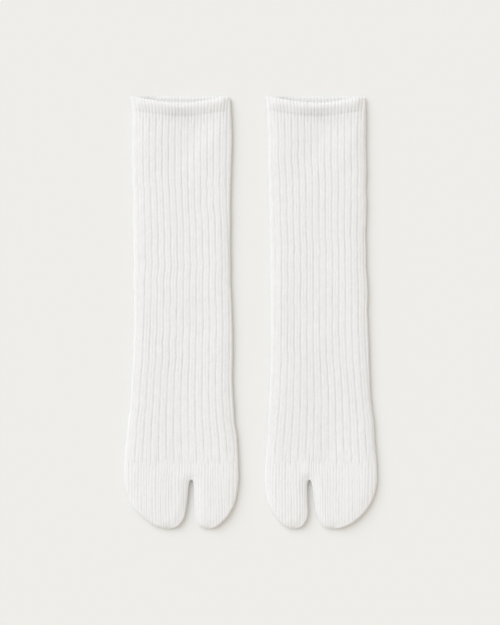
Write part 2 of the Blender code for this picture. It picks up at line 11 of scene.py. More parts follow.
import bpy
import numpy as np
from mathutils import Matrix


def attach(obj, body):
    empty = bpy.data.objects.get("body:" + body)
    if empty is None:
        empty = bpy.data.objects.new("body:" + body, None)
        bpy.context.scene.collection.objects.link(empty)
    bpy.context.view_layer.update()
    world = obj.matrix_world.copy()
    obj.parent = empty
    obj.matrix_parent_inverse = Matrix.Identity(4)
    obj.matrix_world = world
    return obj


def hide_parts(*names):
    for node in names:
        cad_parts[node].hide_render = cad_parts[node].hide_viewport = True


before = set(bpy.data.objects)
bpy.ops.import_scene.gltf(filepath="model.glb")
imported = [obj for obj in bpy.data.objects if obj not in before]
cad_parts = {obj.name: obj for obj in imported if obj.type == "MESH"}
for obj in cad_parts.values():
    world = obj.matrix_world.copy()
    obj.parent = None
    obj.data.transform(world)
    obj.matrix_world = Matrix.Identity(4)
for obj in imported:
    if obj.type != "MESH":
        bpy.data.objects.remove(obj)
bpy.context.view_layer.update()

MM = 0.001


# %% [markdown]
# ## Sizes of the cloth
# A rib sock of medium cotton is about 2 mm thick, and two panels lie on each other. The welt is the same
# cloth turned double, so it stands prouder, and the toe box is padded a little. All sizes are millimetres
# and match the solids, so the dressed cloth sits where the collision is. A size that only one piece
# needs is named where that piece is made.

# %% Sizes that all pieces share
CUFF_Y = 180.2            # top edge of the back panel
LIP_STEP = 1.4            # the front edge starts this far below it at the sides
LIP_LIFT = 0.7            # the stretched lip stands this much past the solid's
WELT_HEIGHT = 10.8        # lip to linked seam
SEAM_Y = CUFF_Y - LIP_STEP - WELT_HEIGHT         # where the welt is linked to the leg, at the sides
TOE_Y = -125.6            # where the ribs end
LEG_HEIGHT = 5.3          # surface to rib crest
EDGE_Z = 2.3              # height of the outline over the surface
FOOT_ROLL = 1.6           # radius of the roll under the outline
WALL_BACK = 1.9           # thickness of the back panel
WALL_SIDE = 2.1           # thickness at the side folds
CAVITY = 0.7              # space between the two panels
print("ribbed tube, mm:", round(SEAM_Y - TOE_Y, 1), "long and", LEG_HEIGHT, "high")

# %% [markdown]
# ## The outline as a table
# A knitted tube pressed flat has no pattern pieces, so its shape is a list of levels: where each side
# edge lies at each height. The ribs drift sideways as the tube was smoothed flat by hand, so each level
# also says where its first groove lies. Each toe pocket has a table of its own, down to its tip. Folds
# are the long, shallow ridges and troughs that the hand left.

# %% Levels, pockets and soft folds of both socks
# A level has its two edges in mm, then the first groove and the rib pitch as shares of the width.
Level = namedtuple("Level", "y left right groove pitch")
Pocket = namedtuple("Pocket", "y left right")
# A fold has its middle, as y and a share of the width, then its reach along and across, lean and height.
Fold = namedtuple("Fold", "y share length width lean height")
# Tone is how much darker the sock looks than its partner, and crotch is the top of its split.
Sock = namedtuple("Sock", "name tone levels crotch pocket_a pocket_b folds")


def make_rows(kind, *rows):
    return tuple(kind(*row) for row in rows)


RIGHT_FOOT = Sock(
    "right_foot", 0.0,
    make_rows(Level,
         (180.2, -101.3, -17.0, 0.0507, 0.0669), (174.0, -99.8, -16.7, 0.0516, 0.0660),
         (167.1, -98.8, -16.3, 0.0533, 0.0650), (152.1, -98.9, -15.8, 0.054, 0.0640),
         (127.1, -98.9, -16.4, 0.055, 0.0640), (93.7, -98.1, -17.0, 0.058, 0.0646),
         (47.1, -97.7, -17.2, 0.065, 0.0657), (10.4, -97.7, -16.1, 0.049, 0.0664),
         (-22.9, -97.8, -15.3, 0.035, 0.0668), (-46.2, -98.7, -15.3, 0.032, 0.0669),
         (-72.9, -100.4, -14.7, 0.029, 0.0670), (-99.6, -103.2, -12.3, 0.027, 0.0675),
         (-112.9, -104.5, -11.0, 0.027, 0.0676), (-126.2, -105.2, -10.1, 0.027, 0.0676),
         (-139.2, -105.4, -10.0, 0.027, 0.0676)),
    (-49.4, -139.2),
    make_rows(Pocket,
         (-140.0, -105.4, -50.5), (-141.7, -105.3, -51.1), (-144.2, -104.9, -51.6),
         (-147.5, -104.1, -52.0), (-151.7, -102.6, -52.3), (-156.7, -101.0, -52.9),
         (-161.7, -98.3, -53.8), (-166.2, -94.9, -54.7), (-170.0, -90.8, -55.6),
         (-173.2, -86.9, -57.1), (-175.8, -83.2, -58.9), (-177.9, -79.4, -61.2),
         (-179.3, -75.4, -63.9), (-180.2, -71.2, -67.4)),
    make_rows(Pocket,
         (-140.0, -48.1, -10.1), (-141.7, -47.7, -10.2), (-144.2, -47.3, -10.5),
         (-147.5, -47.2, -11.0), (-151.7, -47.2, -11.7), (-156.7, -47.1, -12.7),
         (-161.7, -47.1, -14.4), (-166.2, -47.0, -16.9), (-170.0, -46.8, -19.3),
         (-173.2, -45.9, -22.1), (-175.8, -44.3, -24.8), (-177.9, -42.2, -27.5),
         (-179.3, -39.5, -30.0), (-180.2, -36.6, -33.0)),
    make_rows(Fold,
         (142.0, 0.80, 24.0, 8.5, -34.0, 0.48), (143.0, 0.58, 27.0, 12.0, -28.0, -0.68),
         (150.0, 0.22, 30.0, 13.0, -8.0, 0.40), (60.0, 0.36, 62.0, 16.0, 2.0, 0.45),
         (40.0, 0.86, 46.0, 9.0, 0.0, 0.35), (-8.0, 0.50, 14.0, 40.0, 6.0, -0.45),
         (-98.0, 0.50, 42.0, 14.0, 6.0, -0.60), (-70.0, 0.86, 50.0, 10.0, 4.0, 0.35)))

LEFT_FOOT = Sock(
    "left_foot", 0.009,
    make_rows(Level,
         (180.2, 11.7, 96.0, 0.041, 0.0692), (174.0, 12.8, 96.0, 0.042, 0.0685),
         (167.1, 13.6, 96.1, 0.043, 0.0678), (152.1, 13.9, 96.1, 0.044, 0.0672),
         (127.1, 14.4, 96.1, 0.046, 0.0670), (93.7, 15.1, 96.2, 0.053, 0.0662),
         (47.1, 16.1, 96.3, 0.060, 0.0655), (10.4, 16.3, 97.3, 0.054, 0.0656),
         (-22.9, 16.4, 98.4, 0.046, 0.0658), (-46.2, 16.3, 98.9, 0.042, 0.0666),
         (-72.9, 15.3, 100.7, 0.037, 0.0677), (-99.6, 13.9, 103.1, 0.022, 0.0687),
         (-112.9, 12.9, 104.2, 0.018, 0.0690), (-126.2, 12.2, 105.1, 0.018, 0.0690),
         (-139.5, 11.9, 105.4, 0.018, 0.0690)),
    (48.8, -139.5),
    make_rows(Pocket,
         (-140.3, 11.9, 47.8), (-141.9, 12.0, 47.3), (-144.2, 12.1, 47.0),
         (-147.5, 12.5, 47.0), (-151.7, 13.0, 47.1), (-156.7, 13.9, 47.2),
         (-161.9, 15.8, 47.4), (-166.2, 18.1, 47.4), (-170.0, 20.5, 46.9),
         (-173.2, 23.0, 45.7), (-175.8, 25.4, 44.2), (-177.9, 28.0, 42.4),
         (-179.3, 30.7, 40.2), (-180.2, 33.8, 37.4)),
    make_rows(Pocket,
         (-140.3, 49.8, 105.4), (-141.9, 50.4, 105.2), (-144.2, 51.0, 104.8),
         (-147.5, 51.6, 104.2), (-151.7, 52.1, 103.2), (-156.7, 52.8, 101.3),
         (-161.9, 53.5, 98.2), (-166.2, 54.2, 95.0), (-170.0, 55.2, 91.5),
         (-173.2, 56.7, 87.8), (-175.8, 58.5, 84.2), (-177.9, 60.6, 80.2),
         (-179.3, 63.1, 76.4), (-180.2, 66.8, 72.0)),
    make_rows(Fold,
         (137.0, 0.83, 22.0, 8.0, -26.0, 0.60), (143.0, 0.51, 25.0, 11.0, -26.0, -0.60),
         (146.0, 0.18, 28.0, 12.0, -6.0, 0.30), (96.0, 0.60, 20.0, 24.0, 10.0, 0.35),
         (30.0, 0.84, 52.0, 9.0, 0.0, 0.35), (-2.0, 0.60, 13.0, 36.0, 8.0, -0.35),
         (-96.0, 0.58, 44.0, 15.0, 4.0, -0.55), (-46.0, 0.20, 40.0, 11.0, 0.0, 0.30)))
print("levels in a sock:", len(RIGHT_FOOT.levels), "and in a pocket:", len(RIGHT_FOOT.pocket_a))

# %% [markdown]
# ## Reading the tables smoothly
# A polyline would leave flat facets along the edge of the cloth. A cubic curve through the rows bends as
# soft cloth does, and it needs no more numbers. Two small curves serve everywhere below: a soft step and
# a bell.

# %% Smooth curves
def ease(t):
    """Soft step: 0 up to t = 0, and 1 from t = 1 on."""
    t = np.clip(t, 0.0, 1.0)
    return t * t * (3.0 - 2.0 * t)


def ramp(value, start, stop):
    """Soft step from 0 at start to 1 at stop, which may be the lower of the two."""
    return ease((value - start) / (stop - start))


def bell(distance, width):
    """1 at distance 0, falling off on both sides over about the width."""
    return np.exp(-(distance / width) ** 2)


def read(table, y, column):
    """One column at heights y, on a smooth curve through the rows."""
    ys = np.array([row.y for row in table])[::-1]
    values = np.array([getattr(row, column) for row in table])[::-1]
    slopes = np.gradient(values, ys)
    y = np.clip(y, ys[0], ys[-1])
    i = np.clip(np.searchsorted(ys, y) - 1, 0, len(ys) - 2)
    span = ys[i + 1] - ys[i]
    t = (y - ys[i]) / span
    return ((2 * t ** 3 - 3 * t ** 2 + 1) * values[i] + (t ** 3 - 2 * t ** 2 + t) * slopes[i] * span
            + (3 * t ** 2 - 2 * t ** 3) * values[i + 1] + (t ** 3 - t ** 2) * slopes[i + 1] * span)


def sides(sock, y):
    """Left and right edge of a sock at heights y."""
    return read(sock.levels, y, "left"), read(sock.levels, y, "right")


def width_share(sock, x, y):
    """0 at the left edge of the sock and 1 at the right one."""
    left, right = sides(sock, y)
    return (x - left) / (right - left)


def edge_distance(sock, x, y):
    left, right = sides(sock, y)
    return np.minimum(x - left, right - x)


left_edge, _ = sides(RIGHT_FOOT, np.array([100.0, 0.0, -100.0]))
print("left edge at three heights, mm:", np.round(left_edge, 1))

# %% [markdown]
# ## Wander
# No knit lies as straight as its table. Random values stand on a lattice and are blended smoothly between
# its nodes, which gives a slow drift without any direction of its own. The seed is fixed, so the socks
# come out the same each time.

# %% Seeded wander over the plane
LATTICE = 64              # nodes each way, before it repeats
FAR = 1000.0              # keeps the counts of lattice cells and stitches positive
LINE_STEP = 7.0           # neighbouring lines read the lattice this far apart
LINE_CELL = 5.0           # on a lattice with this cell

Drift = namedtuple("Drift", "seed amount cell_x cell_y")


def wander(seed, x, y, cell_x, cell_y):
    """Smooth noise from -1 to 1 over the plane, with cells of the given size."""
    grid = np.random.default_rng(seed).uniform(-1.0, 1.0, (LATTICE, LATTICE))
    u = np.asarray(x, float) / cell_x + FAR
    v = np.asarray(y, float) / cell_y + FAR
    i, j = np.floor(u).astype(int), np.floor(v).astype(int)
    fu, fv = ease(u - i), ease(v - j)
    i, j = i % (LATTICE - 1), j % (LATTICE - 1)
    low = grid[i, j] * (1 - fu) + grid[i + 1, j] * fu
    high = grid[i, j + 1] * (1 - fu) + grid[i + 1, j + 1] * fu
    return low * (1 - fv) + high * fv


def drift(parts, x, y):
    """A coarse wander with finer ones on top, in mm."""
    return sum(part.amount * wander(part.seed, x, y, part.cell_x, part.cell_y) for part in parts)


def line_wander(seed, number, y, cell_y):
    """Noise along numbered ribs or wales, where no line knows of its neighbour."""
    return wander(seed, number * LINE_STEP, y, LINE_CELL, cell_y)


print("wander at three places:", np.round(wander(31, [0.0, 5.0, 10.0], [0.0, 0.0, 0.0], 19.0, 30.0), 2))

# %% [markdown]
# ## Height of the front panel
# Pressed flat, the tube is level in the middle and rolls over at its folds: a tight fold at the outline,
# then a gentle shoulder. The height therefore depends on how far a point lies inside the outline. The
# soft folds lie over that, each a stretched bell from one row of the table.

# %% Rolled edge, soft folds and the dip of the mouth
TIGHT = 1.6               # radius of the tight part of the right fold
LEFT_TIGHT = 2.3          # and of the left one, which was smoothed over by hand
SHOULDER = 11.0           # reach of the gentle slope inside it
SHOULDER_SHARE = 0.45     # share of the height that the gentle slope takes
SOFT_DRIFT = (Drift(31, 0.20, 19.0, 30.0), Drift(32, 0.06, 7.0, 10.0))
LIP_SAG = 4.4             # the front lip dips this much at its middle
SAG_POWER = 1.35          # above 1, the dip starts slowly at the sides


def roll(distance, radius):
    """Quarter circle: 0 at the outline and 1 from the radius on."""
    t = 1.0 - np.clip(distance, 0.0, radius) / radius
    return np.sqrt(1.0 - t * t)


def edge_form(distance, tight=TIGHT, reach=SHOULDER, share=SHOULDER_SHARE):
    """Rise from 0 at the outline to 1: a tight fold, then a gentle shoulder."""
    t = np.clip(distance / reach, 0.0, 1.0)
    return (1.0 - share) * roll(distance, tight) + share * (1.0 - (1.0 - t) ** 2)


def fold_radius(sock, x, y):
    """Radius of the tight part of the nearer side fold, changing over smoothly at the middle."""
    return LEFT_TIGHT + (TIGHT - LEFT_TIGHT) * ramp(width_share(sock, x, y), 0.3, 0.7)


def folds(sock, x, y):
    left, right = sides(sock, y)
    total = drift(SOFT_DRIFT, x, y)
    for fold in sock.folds:
        dx = x - (left + fold.share * (right - left))
        dy = y - fold.y
        lean = math.radians(fold.lean)
        along = dy * math.cos(lean) - dx * math.sin(lean)
        across = dx * math.cos(lean) + dy * math.sin(lean)
        total = total + fold.height * np.exp(-(along / fold.length) ** 2 - (across / fold.width) ** 2)
    return total


def dip(share):
    return LIP_SAG * np.clip(np.sin(math.pi * np.clip(share, 0.0, 1.0)), 0.0, 1.0) ** SAG_POWER


print("deepest dip of the mouth, mm:", float(dip(np.array([0.5]))[0]) + LIP_STEP)

# %% [markdown]
# ## Where the ribs run
# Rib knit is drawn in by its own grooves: a few wales stand forward, then one falls back. Over this
# sock's front there are 15 broad ribs, each of two wales with a faint line between them, and a narrow
# groove. Just below the welt's seam each pair of wales runs together in a small Y. The ribs could be
# modelled one by one, but a count that grows by 1 from groove to groove says at once how near any point
# is to one.

# %% Grooves, lines and their ends
RIB_DRIFT = (Drift(41, 0.10, 9.0, 34.0), Drift(42, 0.06, 5.0, 12.0))
RIB_MERGE = 11.0          # length of the Y below the welt
RIB_FADE = 3.0            # a rib flattens over this length at the toe box
RIB_SLIM = 0.35           # its groove gets this much slimmer on the way there
RIB_ENDS = 3.2            # the grooves end up to this far from the mean height
RIB_UNEVEN = 0.35         # and are up to this share deeper or shallower
MERGE_UNEVEN = 0.6        # and the Y shapes this much longer or shorter
TRACE = 0.35              # strength of the faint line between two wales
FAINT = 0.12              # share of the relief that is left at the left fold


def rib_phase(sock, x, y):
    """Rib count from the first groove, and the ribs' pitch there in mm."""
    left, right = sides(sock, y)
    width = right - left
    pitch = read(sock.levels, y, "pitch") * width
    shift = drift(RIB_DRIFT, x, y)
    return (x - left - read(sock.levels, y, "groove") * width + shift) / pitch, pitch


def rib_end(whole, y):
    """1 over the leg and 0 on the toe box: each groove stops at a height of its own."""
    stop = TOE_Y + 0.5 + RIB_ENDS * line_wander(46, whole, 0.0 * y, 5.0)
    return ease(0.5 + (y - stop) / RIB_FADE)


def rib_marks(sock, x, y, below_seam, half):
    """How near each point is to a groove, to the line between two wales, and to the seam's Y shapes."""
    phase, pitch = rib_phase(sock, x, y)
    whole = np.round(phase)
    uneven = 1.0 + RIB_UNEVEN * line_wander(43, whole, y, 11.0)
    slim = half * (1.0 - RIB_SLIM * ramp(y, TOE_Y + 18.0, TOE_Y + 2.0))
    groove = bell((phase - whole) * pitch, slim) * uneven * rib_end(whole, y)
    from_line = (phase - np.floor(phase) - 0.5) * pitch
    merge_length = RIB_MERGE * (1.0 + MERGE_UNEVEN * line_wander(45, whole, 0.0 * y, 5.0))
    merge = 1.0 - ease(below_seam / merge_length)
    trace = TRACE * np.maximum(0.0, line_wander(55, np.floor(phase), y, 22.0)) * rib_end(whole, y)
    line = bell(from_line, half) * np.maximum(merge, trace) * uneven
    return groove, line, merge


def side_weight(sock, x, y):
    """Strength of the ribs: faint on the left shoulder, which faces the light, and 0 at the outline."""
    left, right = sides(sock, y)
    return (FAINT + (1.0 - FAINT) * ramp(x - left, 1.0, 9.0)) * ease(np.minimum(x - left, right - x) / 0.8)


print("rib pitch at mid leg, mm:", round(float(rib_phase(RIGHT_FOOT, 0.0, 0.0)[1]), 2))

# %% [markdown]
# ## Relief of the knit
# The grooves are under a third of a millimetre deep, which is all that this relief needs to read in soft
# light. On the welt every wale stands alone, so each rib becomes two fine ones. The toe box is plain
# jersey with narrow wales, which set in one by one where the ribs stop.

# %% Depth of ribs, welt lines and wales
GROOVE_DEPTH = 0.28       # rib crest to groove
GROOVE_HALF = 0.55        # half width of a groove
WELT_GROOVE = 0.31        # depth of the welt's fine ribs
WELT_HALF = 0.42          # half width of its lines
TOE_WALE = 2.4            # pitch of the toe box's wales
TOE_LINE = 0.17           # depth of the lines between them
TOE_LINE_HALF = 0.55      # half width of such a line
LINE_UNEVEN = 0.60        # the welt's lines are up to this share deeper or shallower
WALE_UNEVEN = 0.7         # and so are those of the toe box
WALE_GRAIN = 0.25         # with this much more from stitch to stitch
WALE_STARTS = 7.0         # they set in up to this far from the mean height
FAR_BELOW = 90.0          # mm below the welt, where its Y shapes have ended
WALE_DRIFT = (Drift(51, 0.45, 6.0, 40.0),)


def leg_relief(sock, x, y, below_seam):
    """How far the leg's surface lies under the rib crests."""
    groove, line, merge = rib_marks(sock, x, y, below_seam, GROOVE_HALF)
    depth = GROOVE_DEPTH + (WELT_GROOVE - GROOVE_DEPTH) * merge
    return groove * depth + line * WELT_GROOVE


def welt_marks(sock, x, y, half):
    """Nearness to the welt's lines, where every wale stands alone."""
    phase, pitch = rib_phase(sock, x, y)
    away = (phase - 0.5 * np.round(2.0 * phase)) * pitch
    return bell(away, half) * (1.0 + LINE_UNEVEN * line_wander(44, np.round(2.0 * phase), y, 4.0))


def wale_marks(x, y, half):
    """Nearness to the lines between the toe box's wales, which set in as the ribs stop."""
    count = x / TOE_WALE + drift(WALE_DRIFT, x, y)
    whole = np.round(count)
    uneven = 1.0 + WALE_UNEVEN * line_wander(52, whole, y, 16.0) + WALE_GRAIN * wander(53, x, y, 1.6, 2.4)
    start = TOE_Y + 2.0 + WALE_STARTS * line_wander(54, whole, 0.0 * y, 5.0)
    return bell((count - whole) * TOE_WALE, half) * uneven * ease(0.5 + (start - y) / 9.0)


sample = leg_relief(RIGHT_FOOT, np.linspace(-70.0, -50.0, 200), 60.0, FAR_BELOW)
print("relief over four ribs, mm:", round(float(sample.min()), 2), "to", round(float(sample.max()), 2))

# %% [markdown]
# ## Shade in the hollows
# Light hardly gets between the yarns of a groove, under the welt's roll or into the top of the split,
# which a thin relief doesn't show by itself. Each point therefore stores how much darker it is, worked
# out from the same marks as the relief, and the finish further down takes it from the colour.

# %% Shade stored with the points
RIB_SHADE = 0.063         # how much darker the bottom of a groove is
WELT_SHADE = 0.036        # and the lines of the welt
WALE_SHADE = 0.050        # and those of the toe box
SPLIT_SHADE = 0.065       # and the split's right edge
SPLIT_DEEP = 0.150        # and its left edge near the top, which turns from the light
LOWER_LEG_SHADE = 0.010       # and the lower half of a leg: painted shade where the light falls off
LIT_RIM_SHADE = 0.022         # and the left fold: painted shade that dims its sunlit rim
BAND_SHADE = 0.037        # and the whole lower half of the welt
MIDDLE_SHADE = 0.074      # with this much more at its middle
AFTER_SHADE = 0.035       # and some of it just below the seam
END_SHADE = 0.030         # and at the welt's two ends
SEAM_SHADE = 0.040        # and the linked seam itself
SHADE_HALF = 0.62         # half width of the shade in a groove
WALE_SHADE_HALF = 0.60    # and of that in a line of the toe box
SEAM_BELOW = 10.6         # the band ends this far below the lip, at the seam


def seam_shade(share, below_lip, lines):
    """Shade round the seam, for a share of the width, a way below the lip and the nearness to a line."""
    middle = bell(share - 0.50, 0.15)
    ends = ramp(np.minimum(share, 1.0 - share), 0.02, 0.11)
    under_roll = ramp(below_lip, 2.8, 6.0) * ramp(below_lip, SEAM_BELOW + 3.0, SEAM_BELOW)
    band = (BAND_SHADE + MIDDLE_SHADE * middle) * under_roll
    seam = SEAM_SHADE * (0.4 + 1.3 * lines) * bell(below_lip - WELT_HEIGHT, 1.0)
    below = ramp(below_lip, SEAM_BELOW, SEAM_BELOW + 2.5) * ramp(below_lip, 20.0, 13.0)
    tips = bell(share - 0.08, 0.06) + bell(share - 0.94, 0.05)
    tips = tips * ramp(below_lip, 3.0, 6.0) * ramp(below_lip, SEAM_BELOW + 1.5, SEAM_BELOW)
    return (band + seam + AFTER_SHADE * middle * below) * ends + END_SHADE * tips


def leg_shade(sock, x, y, below_seam):
    groove, line, merge = rib_marks(sock, x, y, below_seam, SHADE_HALF)
    lines = groove * (RIB_SHADE + (WELT_SHADE - RIB_SHADE) * merge) + line * WELT_SHADE
    lines = lines * side_weight(sock, x, y) + wale_marks(x, y, WALE_SHADE_HALF) * WALE_SHADE
    below_lip = below_seam + WELT_HEIGHT + LIP_LIFT
    return lines + seam_shade(width_share(sock, x, y), below_lip, np.minimum(groove + line, 1.0))


def laid_shade(sock, x, y):
    """Shade on every piece: the sock's tone, and painted shade on the lower leg and the sunlit left fold.
    """
    left, _ = sides(sock, y)
    # Painted shade for the light falling off down the leg, with the sock's tone; both fade out at the toe
    # box.
    dimming = sock.tone + LOWER_LEG_SHADE * ramp(y, 40.0, -60.0)
    # Painted shade dims the sunlit left fold.
    return dimming * ramp(y, -132.0, -107.0) + LIT_RIM_SHADE * bell(x - left, 1.6)


print("darkest shade at the seam:", round(float(seam_shade(0.52, 8.0, 1.0)), 3))

# %% [markdown]
# ## Cloth as a closed wall
# Each piece is a wall of cloth: an outer skin, an inner skin and the rims between. It could be a sheet
# with a thickness added by a modifier, but then both skins would carry the same ribs. So it is built as
# rows of closed rings. A ring runs over the front from the left fold to the right one, then back under
# the sock. Its columns crowd round each groove and follow it down, so no groove is cut by a facet.

# %% Columns of a ring
GROOVES = 14              # grooves with columns of their own; a 15th lies among those of the tail
HALF_RIB = (0.0, 0.030, 0.060, 0.095, 0.150)     # columns crowd round each groove, in shares of a rib
EDGE_ROLL = 2.7           # radius of the side folds
ROLL_SHARE = 0.62         # share of it that the columns over a fold take
ROLL_TURN = 0.42 * math.pi                       # and how far round the fold they go
FOOT_STEPS = (0.25, 0.55, 1.0)                   # columns on the roll under the outline
ARC = 7                   # columns over each side fold
LEAD = 11                 # from there to the first groove
TAIL = 30                 # from the last groove to the right fold
UNDER = 92                # across the underside
LEAST_LEAD = 0.6          # mm that the first groove keeps from the fold
LEAST_STEP = 0.01         # mm that no two columns come closer than


def rib_places():
    """Places of the columns over one rib, dense at its groove and at the line between its wales."""
    near = list(HALF_RIB) + [0.25] + [0.5 - share for share in HALF_RIB[:0:-1]]
    return np.array(near + [0.5 + share for share in near])


def between(start, stop, count):
    """Even columns between two given ones, which are counted but left out."""
    return start + (stop - start) * np.linspace(0.0, 1.0, count)[None, 1:-1]


def ring_columns(sock, y, under_count=UNDER):
    """Sideways places of a ring's points at heights y, as (front x, underside x), one row each."""
    left, right = (edge[:, None] for edge in sides(sock, y))
    width = right - left
    first = read(sock.levels, y, "groove")[:, None] * width
    pitch = read(sock.levels, y, "pitch")[:, None] * width
    turn = 1.0 - np.cos(np.linspace(0.0, ROLL_TURN, ARC))
    arc = EDGE_ROLL * turn[None, :] * ROLL_SHARE + 0.0 * width
    start, stop = arc[:, -1:], width - arc[:, -1:]
    near = np.maximum(first, start + LEAST_LEAD)
    places = [groove + place for groove in range(GROOVES - 1) for place in rib_places()] + [GROOVES - 1.0]
    ribs = first + pitch * np.array(places)[None, :]
    ribs = np.maximum(ribs, near + LEAST_STEP * np.arange(ribs.shape[1]))
    front = np.concatenate([arc, between(start, near, LEAD), ribs, between(ribs[:, -1:], stop, TAIL),
                            width - arc[:, ::-1]], axis=1)
    front = np.maximum.accumulate(front, axis=1)
    foot = FOOT_ROLL * np.array(FOOT_STEPS)[None, :] + 0.0 * width
    flat = between(foot[:, -1:], width - foot[:, -1:], under_count)
    under = np.concatenate([foot, flat, width - foot[:, ::-1]], axis=1)[:, ::-1]
    return left + front, left + under


fronts, unders = ring_columns(RIGHT_FOOT, np.array([50.0]))
print("points in a ring:", fronts.shape[1] + unders.shape[1])

# %% [markdown]
# ## From rings to an object
# Rows of rings are joined by index arithmetic, which is quick and leaves no stray faces. Just before a
# mesh is made, all its points drift a little, as cloth laid by hand does. Every piece goes through the
# same function, so the drift is the same on both sides of a seam and no gap opens there.

# %% Lofts, hand-laid drift and objects
ASIDE = (Drift(61, 0.48, 34.0, 13.0), Drift(62, 0.10, 7.0, 6.0))
ALONG = (Drift(63, 0.28, 11.0, 30.0),)
CALM = 0.2                # share of the drift that is left at the cuff and at the tips
SHARP = math.radians(70.0)                       # only a steeper turn than this is shaded as an edge


def ring_points(front, under):
    """Whole rings, an array (row, column, 3), from the x, y and z of their front and their underside."""
    return np.concatenate([np.stack(front, -1), np.stack(under, -1)], axis=1)


def bridge(a, b, columns):
    """Quads between the closed ring that starts at point a and the one that starts at point b."""
    j = np.arange(columns)
    k = (j + 1) % columns
    return np.stack([a + j, a + k, b + k, b + j], axis=-1)


def loft(rings, first=0):
    """Quads over all rows of rings, whose points are numbered from first on."""
    rows, columns = rings.shape[:2]
    starts = first + columns * np.arange(rows)
    return np.concatenate([bridge(a, b, columns) for a, b in zip(starts, starts[1:])])


def hand_laid(points):
    """The same points a little aside and a little up or down, calmer at the cuff and at the tips."""
    x, y = points[:, 0], points[:, 1]
    loose = CALM + (1.0 - CALM) * ramp(y, -165.0, -120.0) * ramp(y, 165.0, 130.0)
    moved = points.copy()
    moved[:, 0] += drift(ASIDE, x, y) * loose
    moved[:, 1] += drift(ALONG, x, y) * loose
    return moved


def make_piece(sock, part, points, faces, uv, shade):
    """A mesh object from points in mm, with smooth faces, a UV map named knit and the points' shade."""
    name = sock.name + part
    mesh = bpy.data.meshes.new(name)
    mesh.from_pydata((hand_laid(points) * MM).tolist(), [], faces)
    mesh.validate()
    mesh.polygons.foreach_set("use_smooth", [True] * len(mesh.polygons))
    mesh.set_sharp_from_angle(angle=SHARP)
    layer = mesh.uv_layers.new(name="knit")
    loops = np.empty(len(mesh.loops), dtype=np.int32)
    mesh.loops.foreach_get("vertex_index", loops)
    layer.data.foreach_set("uv", uv[loops].astype(np.float32).ravel())
    stored = mesh.attributes.new("shade", "FLOAT", "POINT")
    shade = shade.ravel() + laid_shade(sock, points[:, 0], points[:, 1])
    stored.data.foreach_set("value", shade.astype(np.float32))
    item = bpy.data.objects.new(name, mesh)
    bpy.context.scene.collection.objects.link(item)
    return item


fold_point = np.array([[-98.0, 60.0, 2.3]])
moved_by = (hand_laid(fold_point) - fold_point)[0, :2]
print("a point on the left fold drifts by, mm:", np.round(moved_by, 2))

# %% [markdown]
# ## Leg and foot
# The ribbed tube is the largest piece. Its outer skin carries the ribs on both panels: raised on the
# front, and on the back cut up into the wall, so the sock still rests flat. The inside is plain, so it
# needs only a few rows. The top rows follow the dip of the mouth and even out further down.

# %% Heights and stitches of the leg
SEAM_RISE = 0.5           # the cloth still stands higher at the linked seam
SEAM_REACH = 5.0          # and comes down over this length
FOLD_FREE = 14.0          # the soft folds fade out over this way to the outline
BACK_GROOVE = 0.5         # depth of the grooves in the underside
BACK_HALF = 0.8           # and their half width
COURSE = 1.45             # height of one knitted course
GROOVE_WALE = 0.14        # half the width of the groove's own wale, in shares of a rib


def leg_front(sock, x, y, below_seam):
    edge = edge_distance(sock, x, y)
    z = EDGE_Z + (LEG_HEIGHT - EDGE_Z) * edge_form(edge, fold_radius(sock, x, y))
    z = z + folds(sock, x, y) * ease(edge / FOLD_FREE)
    z = z - leg_relief(sock, x, y, below_seam) * side_weight(sock, x, y)
    z = z - wale_marks(x, y, TOE_LINE_HALF) * TOE_LINE * ease(edge / 2.0)
    return z + bell(below_seam, SEAM_REACH) * SEAM_RISE * ease(edge / 8.0)


def leg_back(sock, x, y):
    """Height of the underside: grooves and rolled edges lie above the surface, all else on it."""
    edge = edge_distance(sock, x, y)
    phase, pitch = rib_phase(sock, x, y)
    groove = BACK_GROOVE * bell((phase - np.round(phase)) * pitch, BACK_HALF)
    groove = groove * ease(edge / 4.0) * ramp(y, TOE_Y, TOE_Y + 12.0)
    return EDGE_Z * (1.0 - roll(edge, FOOT_ROLL)) + groove


def knit_uv(sock, x, y):
    """Wale and course counts: three wales to a rib, the groove's own wale centred on 0."""
    phase, _ = rib_phase(sock, x, y)
    whole = np.floor(phase + 0.5)
    part = phase - whole
    beside = np.sign(part) * (0.5 + (np.abs(part) - GROOVE_WALE) / (0.5 - GROOVE_WALE))
    local = np.where(np.abs(part) < GROOVE_WALE, 0.5 * part / GROOVE_WALE, beside)
    return np.stack([3.0 * whole + local, y / COURSE], axis=-1)


print("crest at mid leg, mm:", round(float(leg_front(RIGHT_FOOT, -59.0, 0.0, 90.0)), 2))

# %% [markdown]
# ## Making the leg
# The rows lie close at the seam, where the Y shapes are, and at the toe box, where each rib has to stop
# cleanly. Between them a groove only drifts, so wider rows do. Even rows would need far more faces for
# the same look. Where the skins end they are joined by a rim, so the cloth is a closed solid.

# %% Ribbed leg and foot
LEG_ROWS = (23, 124, 14)  # rows near the seam, down the leg and near the toe box
NEAR_SEAM = 14.0          # mm of leg that the first of them cover
NEAR_TOE = 6.0            # and the last
INSIDE_ROWS = 24          # rows down the plain inside
SAG_REACH = 60.0          # the dip of the mouth has evened out this far below the seam
CAVITY_EDGE = 1.5         # the space inside opens over this way from its side folds


